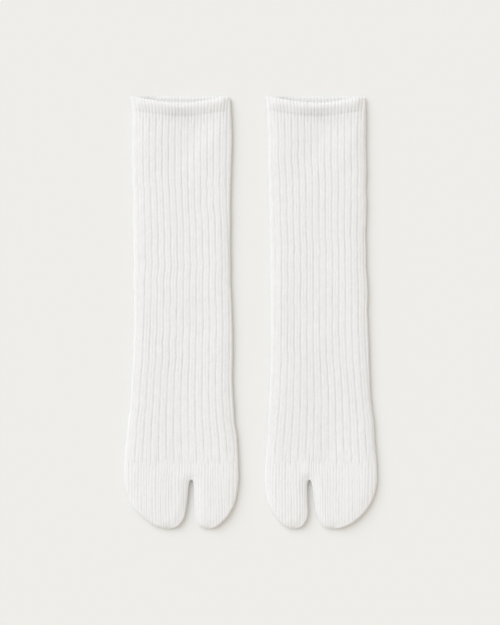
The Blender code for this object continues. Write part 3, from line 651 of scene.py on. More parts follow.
def leg_inside(sock, y, outer, front_count, sag):
    """Plain inside, each point one wall thickness in from its partner on the outside."""
    left, right = (edge[:, None] for edge in sides(sock, y))
    width = right - left
    share = (WALL_SIDE + (outer[:, :, 0] - left) * (1.0 - 2.0 * WALL_SIDE / width)) / width
    x = left + share * width
    over = np.arange(outer.shape[1])[None, :] < front_count
    near = ease((np.minimum(x - left, right - x) - WALL_SIDE) / CAVITY_EDGE)
    front_y = y[:, None] - dip(share) * sag
    top = WALL_BACK + 0.5 * CAVITY * (1.0 + near) + np.maximum(0.0, folds(sock, x, front_y)) * near
    low = WALL_BACK + 0.5 * CAVITY * (1.0 - near)
    return np.stack([x, np.where(over, front_y, y[:, None]), np.where(over, top, low)], -1)


def leg_skins(sock):
    """Rings of the leg's outside and inside, and how far below the seam each outside row lies."""
    length = SEAM_Y - TOE_Y
    top, middle, end = LEG_ROWS
    below = np.concatenate([np.linspace(0.0, NEAR_SEAM, top)[:-1],
                            np.linspace(NEAR_SEAM, length - NEAR_TOE, middle)[:-1],
                            np.linspace(length - NEAR_TOE, length, end)])
    y = SEAM_Y - below
    front_x, under_x = ring_columns(sock, y)
    sag = (1.0 - ease(below / SAG_REACH))[:, None]
    front_y = y[:, None] - dip(width_share(sock, front_x, y[:, None])) * sag
    under_y = y[:, None] + 0.0 * under_x
    outer = ring_points((front_x, front_y, leg_front(sock, front_x, front_y, below[:, None])),
                        (under_x, under_y, leg_back(sock, under_x, under_y)))
    few = np.unique(np.linspace(0, len(y) - 1, INSIDE_ROWS).astype(int))
    return outer, leg_inside(sock, y[few], outer[few], front_x.shape[1], sag[few]), below


def leg_object(sock):
    outer, inner, below = leg_skins(sock)
    rows, columns = outer.shape[:2]
    base = rows * columns
    points = np.concatenate([outer.reshape(-1, 3), inner.reshape(-1, 3)])
    x, y = points[:, 0], points[:, 1]
    end_rim = bridge(base - columns, len(points) - columns, columns)
    faces = [loft(outer)[:, ::-1], loft(inner, base), bridge(0, base, columns), end_rim[:, ::-1]]
    shade = np.zeros(len(points))
    shade[:base] = leg_shade(sock, x[:base], y[:base], np.repeat(below, columns))
    return make_piece(sock, "_leg_knit", points, np.concatenate(faces).tolist(), knit_uv(sock, x, y), shade)


legs = {sock.name: leg_object(sock) for sock in (RIGHT_FOOT, LEFT_FOOT)}
for name, item in legs.items():
    print(name, "leg:", len(item.data.polygons), "faces")

# %% [markdown]
# ## The turned welt
# A welt is knitted twice as tall, folded in and linked down, so its edge is a soft roll with no raw end.
# A tube with a bevelled rim would look cut. Here each column of points goes up the outside, turns over
# the lip in a half circle and comes down inside. The front lip dips below the back one, so a crescent
# of the back panel's inner face shows. At its ends the lip is pressed flatter.

# %% Plan of the welt
LIP_ROUND = 1.05          # radius of the turned lip
SCALLOP = 0.35            # the lip draws in this far at each line
SCALLOP_HALF = 0.75       # half width of such a notch
CORNER_ROUND = 2.6        # the lip's right corner is rounded off like this
CORNER_DROP = 0.8         # and comes down by this share of it
WELT_UNDER = 190          # columns across the back welt, enough for its fine ribs

# Climb is 0 at the seam and 1 at the lip. Front and back hold the columns, as shares of the width.
Welt = namedtuple("Welt", "sock climb level left right width front back")


def welt_grid(sock):
    """Rows and columns of the welt. They start from the columns of the leg at the seam."""
    climb = np.concatenate([np.linspace(0.0, 0.2, 9)[:-1], np.linspace(0.2, 1.0, 18)])[:, None]
    level = SEAM_Y + climb * (WELT_HEIGHT + LIP_LIFT - LIP_ROUND)
    seam = np.array([SEAM_Y])
    seam_left, seam_right = sides(sock, seam)
    width = seam_right - seam_left
    front, back = ((x - seam_left) / width for x in ring_columns(sock, seam, WELT_UNDER))
    return Welt(sock, climb, level, *sides(sock, level), width, front, back)


def from_end(welt, share):
    """Way in mm from a column to the nearer end of the welt."""
    return np.minimum(share, 1.0 - share) * welt.width


def welt_plan(welt):
    """x and y of the outside, for the front and then for the back."""
    t = welt.climb
    front_y = welt.level - dip(welt.front)
    front_y = front_y + 0.5 * LIP_STEP * t * (1.0 - ease(from_end(welt, welt.front) / 4.0))
    back_y = welt.level - LIP_LIFT * t
    back_y = back_y + LIP_STEP * t * (0.5 + 0.5 * ease(from_end(welt, welt.back) / 4.0))
    plans = []
    for share, y in ((welt.front, front_y), (welt.back, back_y)):
        x = welt.left + share * (welt.right - welt.left)
        y = y - SCALLOP * welt_marks(welt.sock, x, CUFF_Y + 0.0 * x, SCALLOP_HALF) * t ** 4
        past = np.clip(1.0 - (1.0 - share) * welt.width / CORNER_ROUND, 0.0, 1.0)
        round_off = CORNER_ROUND * CORNER_DROP * (1.0 - np.sqrt(1.0 - past ** 2))
        plans.append((x, y - round_off * ease(2.0 * t - 1.0)))
    return plans


trial = welt_grid(RIGHT_FOOT)
print("welt:", len(trial.climb), "rows and", trial.front.shape[1] + trial.back.shape[1], "columns")

# %% [markdown]
# ## Form of the welt
# Across its height the welt swells from the seam and falls off again to the lip. A short profile of steps
# gives that swell, as a cross-section drawn by a pattern maker would. Inside, the mouth opens a little to
# the lip, and the back panel shows its fine ribs.

# %% Heights of the welt
WELT_RISE = 1.5           # how far the roll stands over the leg
MOUTH_GAP = 1.5           # opening at the middle of the mouth
BACK_LIFT = 0.45          # the back panel rises this much to its lip
BACK_FINE = 0.18          # depth of the fine ribs on the inside of the back panel
LIP_RINGS = 10            # rings over the turned lip

WeltStep = namedtuple("WeltStep", "y rise")
WELT_PROFILE = make_rows(WeltStep, (1.0, 0.50), (0.93, 0.82), (0.83, 0.98), (0.70, 1.0), (0.50, 0.86),
                         (0.30, 0.64), (0.14, 0.44), (0.05, 0.33), (0.0, 0.28))


def welt_front(welt, x):
    """The leg's own form, with the roll over it and the fine ribs in the roll."""
    t, share, edge = welt.climb, welt.front, from_end(welt, welt.front)
    seam_y = SEAM_Y - dip(share)
    z = EDGE_Z + (LEG_HEIGHT - EDGE_Z) * edge_form(edge, fold_radius(welt.sock, x, seam_y))
    z = z + folds(welt.sock, x, seam_y) * ease(edge / FOLD_FREE)
    # The left half was smoothed down by hand, so the roll only comes up slowly there.
    full = np.where(share < 0.5, 0.3 + 0.7 * ease(edge / 34.0), 1.0)
    full = full * ease(edge / 8.0) * (0.75 + 0.25 * np.sin(math.pi * share))
    z = z + WELT_RISE * read(WELT_PROFILE, t, "rise") * full
    fine = welt_marks(welt.sock, x, seam_y + WELT_HEIGHT * t, WELT_HALF)
    fine = fine * (0.3 + 0.7 * ease(edge / 3.5)) * ease(edge / 0.8) * (1.0 - 0.35 * ease(t / 0.9))
    return z - fine * WELT_GROOVE


def welt_inside(welt, shares, over, outer_y):
    """Inside of the welt: the mouth opens towards the lip, and fine ribs show on the back panel."""
    inset = WALL_SIDE / welt.width
    share = inset + shares * (1.0 - 2.0 * inset)
    x = welt.left + share * (welt.right - welt.left)
    near = ease((from_end(welt, share) - WALL_SIDE) / CAVITY_EDGE)
    gap = MOUTH_GAP * np.sin(math.pi * share) * ease(welt.climb)
    gap = gap + np.maximum(0.0, folds(welt.sock, x, SEAM_Y - dip(share)))
    top = WALL_BACK + 0.5 * CAVITY * (1.0 + near) + gap * near
    fine = BACK_FINE * welt_marks(welt.sock, x, SEAM_Y + 0.0 * x, WELT_HALF)
    low = WALL_BACK + 0.5 * CAVITY * (1.0 - near) + (BACK_LIFT * welt.climb - fine) * near
    return np.stack([x, outer_y, np.where(over, top, low)], -1)


def turned_lip(outer, inner):
    """Rings in a half circle over the lip, from the last ring outside to the last one inside."""
    middle, half = 0.5 * (outer + inner), 0.5 * (outer - inner)
    reach = np.linalg.norm(half, axis=-1)
    cap = []
    for angle in np.linspace(0.0, math.pi, LIP_RINGS + 2)[1:-1]:
        ring = middle + half * math.cos(angle)
        ring[:, 1] += reach * math.sin(angle)
        cap.append(ring)
    return np.stack(cap)


crest = welt_front(trial, welt_plan(trial)[0][0])
print("tallest point of the right foot's welt, mm:", round(float(crest.max()), 2))

# %% [markdown]
# ## Making the welt
# All rings, outside, over the lip and inside, are one loft that closes on itself at the seam. So the welt
# is a closed solid too, without a rim of its own. It is in shade under its roll and deep in the mouth.

# %% Welts
WELT_INSIDE = 12          # rows down the inside
CORNER = 0.18             # the right end of the lip is pressed flatter by this share
LEFT_CORNER = 0.83        # and the left one by this share of that
MOUTH_SHADE = 0.15        # the back panel's inner face is darkest at the left of the mouth
WELT_COURSE = 0.45        # mm of knit that each ring counts for in the stitches


def welt_shade(welt, x, shares, over, climb):
    """Shade of the fine ribs, of the band below the roll, and of the mouth's inner face."""
    y = SEAM_Y - dip(shares) + WELT_HEIGHT * climb
    lines = welt_marks(welt.sock, x, y, 0.5)
    band = seam_shade(shares, (1.0 - climb) * (WELT_HEIGHT + LIP_LIFT), lines) * over
    # The lines are paler at the ends, towards the lip and inside the dark band.
    fade = ease(from_end(welt, shares) / 4.0) * (1.0 - 0.55 * ease(climb / 0.9))
    shade = lines * WELT_SHADE * fade * (1.0 - 5.0 * np.minimum(band, 0.12)) + band
    inward = ease((np.arange(len(climb)) - len(welt.climb) + 3.0) / LIP_RINGS)[:, None] * ~over
    return shade + MOUTH_SHADE * bell(shares - 0.14, 0.09) * inward


def welt_object(sock):
    welt = welt_grid(sock)
    (front_x, front_y), (back_x, back_y) = welt_plan(welt)
    back_z = EDGE_Z * (1.0 - roll(from_end(welt, welt.back), FOOT_ROLL)) + 0.0 * back_x
    outer = ring_points((front_x, front_y, welt_front(welt, front_x)), (back_x, back_y, back_z))
    shares = np.concatenate([welt.front, welt.back], axis=1)
    over = np.arange(shares.shape[1])[None, :] < welt.front.shape[1]
    inner = welt_inside(welt, shares, over, outer[:, :, 1])
    few = np.unique(np.linspace(0, len(outer) - 1, WELT_INSIDE).astype(int))[::-1]
    rings = np.concatenate([outer, turned_lip(outer[-1], inner[-1]), inner[few]])
    climb = np.concatenate([welt.climb, np.ones((LIP_RINGS, 1)), welt.climb[few]])
    ends = from_end(welt, shares)
    pressed = np.where(shares > 0.5, 1.0 - ease(ends / 8.5), LEFT_CORNER * (1.0 - ease(ends / 12.0)))
    rings[:, :, 2] *= 1.0 - CORNER * ease(climb) * pressed
    rows, columns = rings.shape[:2]
    points = rings.reshape(-1, 3)
    faces = np.concatenate([loft(rings), bridge((rows - 1) * columns, 0, columns)])
    phase, _ = rib_phase(sock, points[:, 0], points[:, 1])
    up = np.repeat(np.arange(rows) * WELT_COURSE, columns)
    uv = np.stack([2.0 * phase + 0.5, up / COURSE], axis=-1)
    shade = welt_shade(welt, rings[:, :, 0], shares, over, climb)
    return make_piece(sock, "_welt_knit", points, faces.tolist(), uv, shade)


welts = {sock.name: welt_object(sock) for sock in (RIGHT_FOOT, LEFT_FOOT)}
for name, item in welts.items():
    tallest = max(vertex.co.z for vertex in item.data.vertices) / MM
    print(name, "welt:", len(item.data.polygons), "faces, tallest", round(tallest, 2))

# %% [markdown]
# ## The split toe box
# Below the ribs the tube parts into two closed pockets. The height of every point depends on its distance
# from the outline, split and tips included, so the edges are rounded all the way round. In the split the
# pockets press on each other, and their edges stand taller there. One point at the top of the split is
# shared by both pockets and by front and back: that is where a knitter joins them.

# %% Outline of the pockets
TIP_ROUND = 0.15          # the outline closes this far past a pocket's last row
SIDE_LEVELS = 4           # a pocket's outline starts this many levels up the side
OUTLINE_POINTS = 700      # points on the outline of a pocket

Place = namedtuple("Place", "y value")


def spline(path, count):
    """Points on a smooth curve through a list of (x, y)."""
    path = np.array(path)
    along = np.concatenate([[0.0], np.cumsum(np.linalg.norm(np.diff(path, axis=0), axis=1))])
    s = np.linspace(0.0, along[-1], count)
    tables = [[Place(a, v) for a, v in zip(along[::-1], path[::-1, k])] for k in (0, 1)]
    return np.stack([read(table, s, "value") for table in tables], axis=-1)


def pocket_curve(sock, rows, side_name):
    """Outline of one pocket, from the tube's side or the split round the tip, as two halves."""
    tip = (0.5 * (rows[-1].left + rows[-1].right), rows[-1].y - TIP_ROUND)
    side = [(getattr(level, side_name), level.y) for level in sock.levels[-SIDE_LEVELS:]]
    lefts = [(row.left, row.y) for row in rows]
    rights = [(row.right, row.y) for row in rows]
    if side_name == "left":
        lefts, rights = side + lefts, [sock.crotch] + rights
    else:
        lefts, rights = [sock.crotch] + lefts, side + rights
    curve = spline(lefts + [tip] + rights[::-1], OUTLINE_POINTS)
    lowest = int(np.argmin(curve[:, 1]))
    return curve[:lowest + 1], curve[lowest:][::-1]


def across(curve, y):
    """x of one half of a pocket's outline at heights y."""
    return np.interp(y, curve[::-1, 1], curve[::-1, 0])


halves = pocket_curve(RIGHT_FOOT, RIGHT_FOOT.pocket_b, "right")
pocket_width = across(halves[1], -155.0) - across(halves[0], -155.0)
print("big toe pocket is", round(float(pocket_width), 1), "mm wide")

# %% [markdown]
# ## How far from the outline
# The pockets' edges curve, so the way to the outline can't be read off along a slice. It is measured to
# the nearest piece of the curve, for all points at once. A modifier or a bevel could round an edge of one
# radius, but here each side of a pocket rolls over in its own way.

# %% Distance from an outline
CHUNK = 2000              # points at a time, to save memory
HALVINGS = 22


def outline_distance(paths, points):
    """Shortest way in plan from each point to a set of polylines."""
    best = np.full(len(points), np.inf)
    for path in paths:
        start, step = path[:-1], np.diff(path, axis=0)
        length = np.maximum((step ** 2).sum(1), 1e-12)
        for low in range(0, len(points), CHUNK):
            part = slice(low, low + CHUNK)
            gap = points[part, None, :] - start[None, :, :]
            t = np.clip((gap * step[None, :, :]).sum(2) / length, 0.0, 1.0)
            off = gap - t[:, :, None] * step[None, :, :]
            best[part] = np.minimum(best[part], np.sqrt((off ** 2).sum(2)).min(1))
    return best


def inset_half(paths, curve, toward, y, inset):
    """x on a slice that lies 'inset' inside the outline, found by halving the way to the middle."""
    low, high = np.zeros(len(y)), np.ones(len(y))
    start = across(curve, y)
    for _ in range(HALVINGS):
        middle = 0.5 * (low + high)
        x = start + (toward - start) * middle
        short = outline_distance(paths, np.stack([x, y], -1)) < inset
        low, high = np.where(short, middle, low), np.where(short, high, middle)
    return start + (toward - start) * high


inside_point = outline_distance(halves, np.array([[-30.0, -150.0]]))
print("a point inside that pocket is", round(float(inside_point[0]), 1), "mm from its outline")

# %% [markdown]
# ## Meshing the pockets
# The toe box is made of slices across the sock. Above the split a slice is one ring, below it there are
# two. Points crowd towards the outline, where the surface turns fastest, and the slices crowd towards the
# tips for the same reason. A subdivided cage would need far fewer points, but it couldn't follow the
# wales and the two thin edges in the split.

# %% Slices and skins
EDGE, OVER, BELOW = 0, 1, 2                      # kinds of points: on the outline, in front, underneath
Counts = namedtuple("Counts", "front_a under_a front_b under_b rows")
OUTER_COUNTS = Counts(190, 30, 150, 26, 66)
INNER_COUNTS = Counts(16, 16, 14, 14, 16)


def crowded(start, stop, count):
    """Places between start and stop that crowd towards both, which are left out."""
    return start + (stop - start) * (0.5 - 0.5 * np.cos(math.pi * np.arange(1, count) / count))


class Skin:
    """Points with a kind, and faces, of one skin of a toe box."""

    def __init__(self):
        self.points = []
        self.kinds = []
        self.faces = []

    def add(self, x, y, kind):
        """New points in a slice, and their numbers."""
        first = len(self.points)
        for value in np.atleast_1d(x):
            self.points.append((float(value), float(y)))
            self.kinds.append(kind)
        return list(range(first, len(self.points)))

    def join(self, first, second):
        """Faces between two rings of as many points, which may share some."""
        count = len(first)
        for i in range(count):
            j = (i + 1) % count
            corners = list(dict.fromkeys((first[i], first[j], second[j], second[i])))
            if len(corners) > 2:
                self.faces.append(corners)

    def close(self, ring, front):
        """Triangles over a tip, between the front and the underside of its last ring."""
        over, back = ring[:front + 1], [ring[0]] + ring[:front - 1:-1]
        i = j = 0
        while i < len(over) - 1 or j < len(back) - 1:
            ahead_over, ahead_back = (i + 1) / (len(over) - 1), (j + 1) / (len(back) - 1)
            if j >= len(back) - 1 or (i < len(over) - 1 and ahead_over <= ahead_back):
                corners = [over[i], over[i + 1], back[j]]
                i += 1
            else:
                corners = [over[i], back[j + 1], back[j]]
                j += 1
            if len(set(corners)) == 3:
                self.faces.append(corners)


def pocket_ring(skin, y, left, right, front, under):
    """One ring of a pocket: left edge, front, right edge, underside."""
    ring = skin.add(left, y, EDGE) + skin.add(crowded(left, right, front), y, OVER)
    ring += skin.add(right, y, EDGE) + skin.add(crowded(right, left, under), y, BELOW)
    return ring


def tube_ring(skin, y, left, right, split_x, counts, is_last):
    """One ring above the split. In the last one, front and back share the point of the split."""
    ring = skin.add(left, y, EDGE) + skin.add(crowded(left, split_x, counts.front_a), y, OVER)
    crotch = skin.add(split_x, y, EDGE if is_last else OVER)
    ring += crotch + skin.add(crowded(split_x, right, counts.front_b), y, OVER)
    ring += skin.add(right, y, EDGE) + skin.add(crowded(right, split_x, counts.under_b), y, BELOW)
    ring += crotch if is_last else skin.add(split_x, y, BELOW)
    return ring + skin.add(crowded(split_x, left, counts.under_a), y, BELOW)


def fill_skin(skin, tube_rows, split_x, pockets, counts):
    """Fill a skin with slices, each given as (y, left, right). The last row of the tube is the split's."""
    last = len(tube_rows) - 1
    rings = [tube_ring(skin, *row, split_x, counts, index == last) for index, row in enumerate(tube_rows)]
    for upper, lower in zip(rings, rings[1:]):
        skin.join(upper, lower)
    ring = rings[-1]
    turn = counts.front_a + counts.front_b
    part_a = ring[:counts.front_a + 1] + ring[turn + counts.under_b + 1:]
    part_b = ring[counts.front_a:turn + counts.under_b]
    for rows, ring, front, under in ((pockets[0], part_a, counts.front_a, counts.under_a),
                                     (pockets[1], part_b, counts.front_b, counts.under_b)):
        for y, left, right in rows:
            following = pocket_ring(skin, y, left, right, front, under)
            skin.join(ring, following)
            ring = following
        skin.close(ring, front)
    return rings[0]


trial_ring = pocket_ring(Skin(), -150.0, -47.0, -11.0, OUTER_COUNTS.front_b, OUTER_COUNTS.under_b)
print("points in a ring of the big toe pocket:", len(trial_ring))

# %% [markdown]
# ## Two skins in one mesh
# The outside is dense, because it carries the wales. The plain inside needs only a few points and lies
# one wall thickness inside the outline. Both are filled by the same function and zipped together where
# the toe box meets the leg, although their rings have different numbers of points.

# %% Rows of the toe box's skins
TOE_WALL = 2.2            # thickness of the cloth round a pocket
OUTER_TUBE = (5.6, 4.4, 3.4, 2.5, 1.8, 1.2, 0.7, 0.3, 0.1, 0.0)       # mm above the split
INNER_TUBE = (3.4, 1.6, 0.6, 0.0)
SPLIT_DROPS = (0.12, 0.4, 0.8, 1.4, 2.1, 3.0)                          # mm below it
TIP_GAP = 0.02            # the last slice stays this far from the tip


def tube_slices(sock, heights, wall):
    """(y, left, right) of slices above the split, one wall inside the sock's edges."""
    return [(y, float(read(sock.levels, y, "left")) + wall, float(read(sock.levels, y, "right")) - wall)
            for y in heights]


def toe_skins(sock, curves):
    """Both skins in one, the first ring of each, and the number of points in the outer one."""
    split_x, split_y = sock.crotch
    depth = split_y - min(curve[0][-1, 1] for curve in curves) - TIP_GAP
    first = SPLIT_DROPS[-1]
    crowding = np.sin(0.5 * math.pi * np.linspace(0.0, 1.0, OUTER_COUNTS.rows))[1:]
    y = split_y - np.concatenate([SPLIT_DROPS, first + (depth - first) * crowding])
    heights = np.concatenate([np.linspace(TOE_Y, split_y + 6.8, 6), split_y + np.array(OUTER_TUBE)])
    pockets = [list(zip(y, across(left, y), across(right, y))) for left, right in curves]
    skin = Skin()
    outer_ring = fill_skin(skin, tube_slices(sock, heights, 0.0), split_x, pockets, OUTER_COUNTS)
    outer_count = len(skin.points)
    # The outer skin faces out and the inner one faces the foot.
    skin.faces = [face[::-1] for face in skin.faces]

    heights = np.concatenate([[TOE_Y, TOE_Y - 3.0], split_y + TOE_WALL + np.array(INNER_TUBE)])
    y = split_y - np.linspace(1.4, depth - TOE_WALL - 1.2, INNER_COUNTS.rows)
    paths = curves[0] + curves[1]
    pockets = []
    for curve in curves:
        centre = 0.5 * (across(curve[0], y) + across(curve[1], y))
        pockets.append(list(zip(y, *(inset_half(paths, half, centre, y, TOE_WALL) for half in curve))))
    inner_ring = fill_skin(skin, tube_slices(sock, heights, TOE_WALL), split_x, pockets, INNER_COUNTS)
    return skin, outer_ring, inner_ring, outer_count


def zip_rims(skin, x, outer_ring, inner_ring):
    """Triangles between the first rings of both skins, in the order of their shares of the width."""
    def shares(ring):
        left, right = x[ring[0]], max(x[ring])
        part = [(x[index] - left) / (right - left) for index in ring]
        return [2.0 - p if skin.kinds[index] == BELOW else p for index, p in zip(ring, part)] + [2.0]

    a, b = shares(outer_ring), shares(inner_ring)
    i = j = 0
    while i < len(outer_ring) or j < len(inner_ring):
        this, other = outer_ring[i % len(outer_ring)], inner_ring[j % len(inner_ring)]
        if j >= len(inner_ring) or (i < len(outer_ring) and a[i + 1] <= b[j + 1]):
            skin.faces.append([this, outer_ring[(i + 1) % len(outer_ring)], other])
            i += 1
        else:
            skin.faces.append([this, inner_ring[(j + 1) % len(inner_ring)], other])
            j += 1


slices = len(SPLIT_DROPS) + OUTER_COUNTS.rows - 1
print("slices in a pocket:", slices, "outside and", INNER_COUNTS.rows, "inside")

# %% [markdown]
# ## Form of the toe box
# The toe box is a little thicker than the leg. Its sides fold as the leg's do, and its tips are rounder.
# The two edges in the split are firm and tall. The left one turns away from the light there, so it also
# gets the deepest shade.

# %% Heights and shade of the toe box
TOE_HEIGHT = 5.7          # surface to the top of the padded toe box
SPLIT_TIGHT = 3.6         # radius of the tight part of an edge in the split
SPLIT_SHOULDER = 8.5      # and reach of its gentle slope
SPLIT_SHARE = 0.60        # which takes this share of the height
SPLIT_RISE = 1.7          # the edges in the split stand taller by this
SPLIT_REACH = 3.0         # over this way
TIP_TIGHTER = 0.55        # the gentle slope takes this much less of the height at the tips

Reach = namedtuple("Reach", "left right split side edge pressed wales")


def toe_reach(sock, x, y, curves):
    """Ways to the split's edges and to the sides, pressure in the split, and strength of the wales."""
    plan = np.stack([x, y], -1)
    (left_side, split_left), (split_right, right_side) = curves
    left, right = outline_distance((split_left,), plan), outline_distance((split_right,), plan)
    side = outline_distance((left_side, right_side), plan)
    split = np.minimum(left, right)
    edge = np.minimum(split, side)
    pressed = ease(side / 9.0) * ramp(y, sock.crotch[1] + 2.5, sock.crotch[1])
    wales = ease(edge / 1.6) * (0.3 + 0.7 * ease(split / 6.0))
    return Reach(left, right, split, side, edge, pressed, wales)


def toe_z(sock, x, y, kind, reach):
    """Height of the outside: padded crown, rounded edges, ends of the ribs and wales, flat underneath."""
    crown = LEG_HEIGHT + (TOE_HEIGHT - LEG_HEIGHT) * ramp(y, TOE_Y, TOE_Y - 14.0)
    gentle = SHOULDER_SHARE * (1.0 - TIP_TIGHTER * ramp(y, -154.0, -170.0))
    rise = edge_form(reach.side, fold_radius(sock, x, y), SHOULDER, gentle)
    rise = rise * edge_form(reach.split, SPLIT_TIGHT, SPLIT_SHOULDER, SPLIT_SHARE)
    rim = EDGE_Z + SPLIT_RISE * bell(reach.split, SPLIT_REACH) * reach.pressed
    over = rim + (crown - rim) * rise + folds(sock, x, y) * ease(reach.edge / FOLD_FREE)
    over = over - leg_relief(sock, x, y, FAR_BELOW) * side_weight(sock, x, y)
    over = over - wale_marks(x, y, TOE_LINE_HALF) * TOE_LINE * reach.wales
    below = rim * (1.0 - roll(reach.edge, FOOT_ROLL))
    return np.where(kind == OVER, over, np.where(kind == BELOW, below, rim))


def toe_inside_z(kind, reach):
    middle = WALL_BACK + 0.5 * CAVITY
    half = 0.5 * CAVITY * roll(reach.edge - TOE_WALL, 1.6)
    return np.where(kind == OVER, middle + half, np.where(kind == BELOW, middle - half, middle))


def toe_shade(sock, x, y, reach):
    shade = wale_marks(x, y, WALE_SHADE_HALF) * WALE_SHADE * reach.wales
    groove, _, _ = rib_marks(sock, x, y, FAR_BELOW, SHADE_HALF)
    shade = shade + groove * RIB_SHADE * side_weight(sock, x, y)
    deep = SPLIT_DEEP * bell(reach.left, 2.6) * ramp(y, -172.0, -157.0)
    return shade + np.maximum(deep, SPLIT_SHADE * bell(reach.right, 1.5)) * reach.pressed


print("padded toe box, mm:", TOE_HEIGHT, "high, and", EDGE_Z + SPLIT_RISE, "at the split's edges")

# %% [markdown]
# ## Making the toe boxes
# Outline, slices, heights, stitches and shade come together in one function, which is the same for both
# socks: only their tables differ.

# %% Toe boxes
def toe_object(sock):
    curves = (pocket_curve(sock, sock.pocket_a, "left"), pocket_curve(sock, sock.pocket_b, "right"))
    skin, outer_ring, inner_ring, outer_count = toe_skins(sock, curves)
    x, y = np.array(skin.points).T
    zip_rims(skin, x, outer_ring, inner_ring)
    kind = np.array(skin.kinds)
    inside = np.arange(len(x)) >= outer_count
    reach = toe_reach(sock, x, y, curves)
    z = np.where(inside, toe_inside_z(kind, reach), toe_z(sock, x, y, kind, reach))
    uv = np.stack([x / TOE_WALE + drift(WALE_DRIFT, x, y) + 0.5, y / COURSE], axis=-1)
    shade = np.where((kind == OVER) & ~inside, toe_shade(sock, x, y, reach), 0.0)
    return make_piece(sock, "_toe_knit", np.stack([x, y, z], -1), skin.faces, uv, shade)


toes = {sock.name: toe_object(sock) for sock in (RIGHT_FOOT, LEFT_FOOT)}
for name, item in toes.items():
    print(name, "toe box:", len(item.data.polygons), "faces")

# %% [markdown]
# ## Cotton knit
# At arm's length knitted cotton looks matt and softly fuzzy, and up close each wale is a column of small
# V stitches. They could come from a picture of knit, but arithmetic on the UV map, which counts wales and
# courses, stays sharp at any distance and follows every rib. A fine noise stands for the nap, and a
# little sheen lights the edges as loose fibres do. The shade stored with the points darkens the colour.

# %% Node helpers
def link(tree, source, target):
    tree.links.new(source, target)


def maths(tree, operation, a, b=None):
    node = tree.nodes.new("ShaderNodeMath")
    node.operation = operation
    for socket, value in zip(node.inputs, (a, b)):
        if isinstance(value, (int, float)):
            socket.default_value = value
        elif value is not None:
            link(tree, value, socket)
    return node.outputs[0]


def vector_maths(tree, operation, vector):
    node = tree.nodes.new("ShaderNodeVectorMath")
    node.operation = operation
    link(tree, vector, node.inputs[0])
    return node


def noise(tree, vector, scale, detail):
    node = tree.nodes.new("ShaderNodeTexNoise")
    node.inputs["Scale"].default_value = scale
    node.inputs["Detail"].default_value = detail
    link(tree, vector, node.inputs["Vector"])
    return node.outputs["Fac"]


def bump(tree, height, distance, before=None):
    node = tree.nodes.new("ShaderNodeBump")
    node.inputs["Strength"].default_value = 1.0
    node.inputs["Distance"].default_value = distance
    link(tree, height, node.inputs["Height"])
    if before is not None:
        link(tree, before, node.inputs["Normal"])
    return node.outputs["Normal"]


def stitches(tree):
    """Height of V stitches, one to each wale and course of the UV map."""
    uv = tree.nodes.new("ShaderNodeUVMap")
    uv.uv_map = "knit"
    counts = tree.nodes.new("ShaderNodeSeparateXYZ")
    link(tree, uv.outputs[0], counts.inputs[0])
    wales, courses = counts.outputs[0], counts.outputs[1]
    local = maths(tree, "FRACT", maths(tree, "ADD", wales, FAR + 0.5))
    border = maths(tree, "MULTIPLY", maths(tree, "ABSOLUTE", maths(tree, "SUBTRACT", local, 0.5)), 2.0)
    slant = maths(tree, "ADD", maths(tree, "MULTIPLY", border, 0.5), maths(tree, "ADD", courses, FAR))
    course = maths(tree, "SINE", maths(tree, "MULTIPLY", maths(tree, "FRACT", slant), math.pi))
    fill = maths(tree, "SUBTRACT", 1.0, maths(tree, "POWER", border, 4.0))
    return maths(tree, "MULTIPLY", course, fill)


print("a stitch on the toe box, mm:", TOE_WALE, "by", COURSE)

# %% [markdown]
# ## One finish in three strengths
# The ribs, the welt and the toe box are the same yarn. The ribs and the welt are knitted looser, so their
# stitches are deeper and their tone is more uneven than on the smooth jersey of the toe box.

# %% Knit finishes
KNIT_COLOUR = (0.795, 0.799, 0.794)
NAP_STRETCH = (1.0, 0.4, 1.0)                    # loose fibres lie more along the sock than across it
NAP_SCALE, NAP_DETAIL, NAP_SHARE = 900.0, 3.0, 0.45
CLOUD_SCALE, CLOUD_DETAIL, CLOUD_SHARE = 360.0, 2.0, 0.55
NAP_DEPTH = 0.20                                 # mm


def tinted(share):
    return (*[share * c for c in KNIT_COLOUR], 1.0)


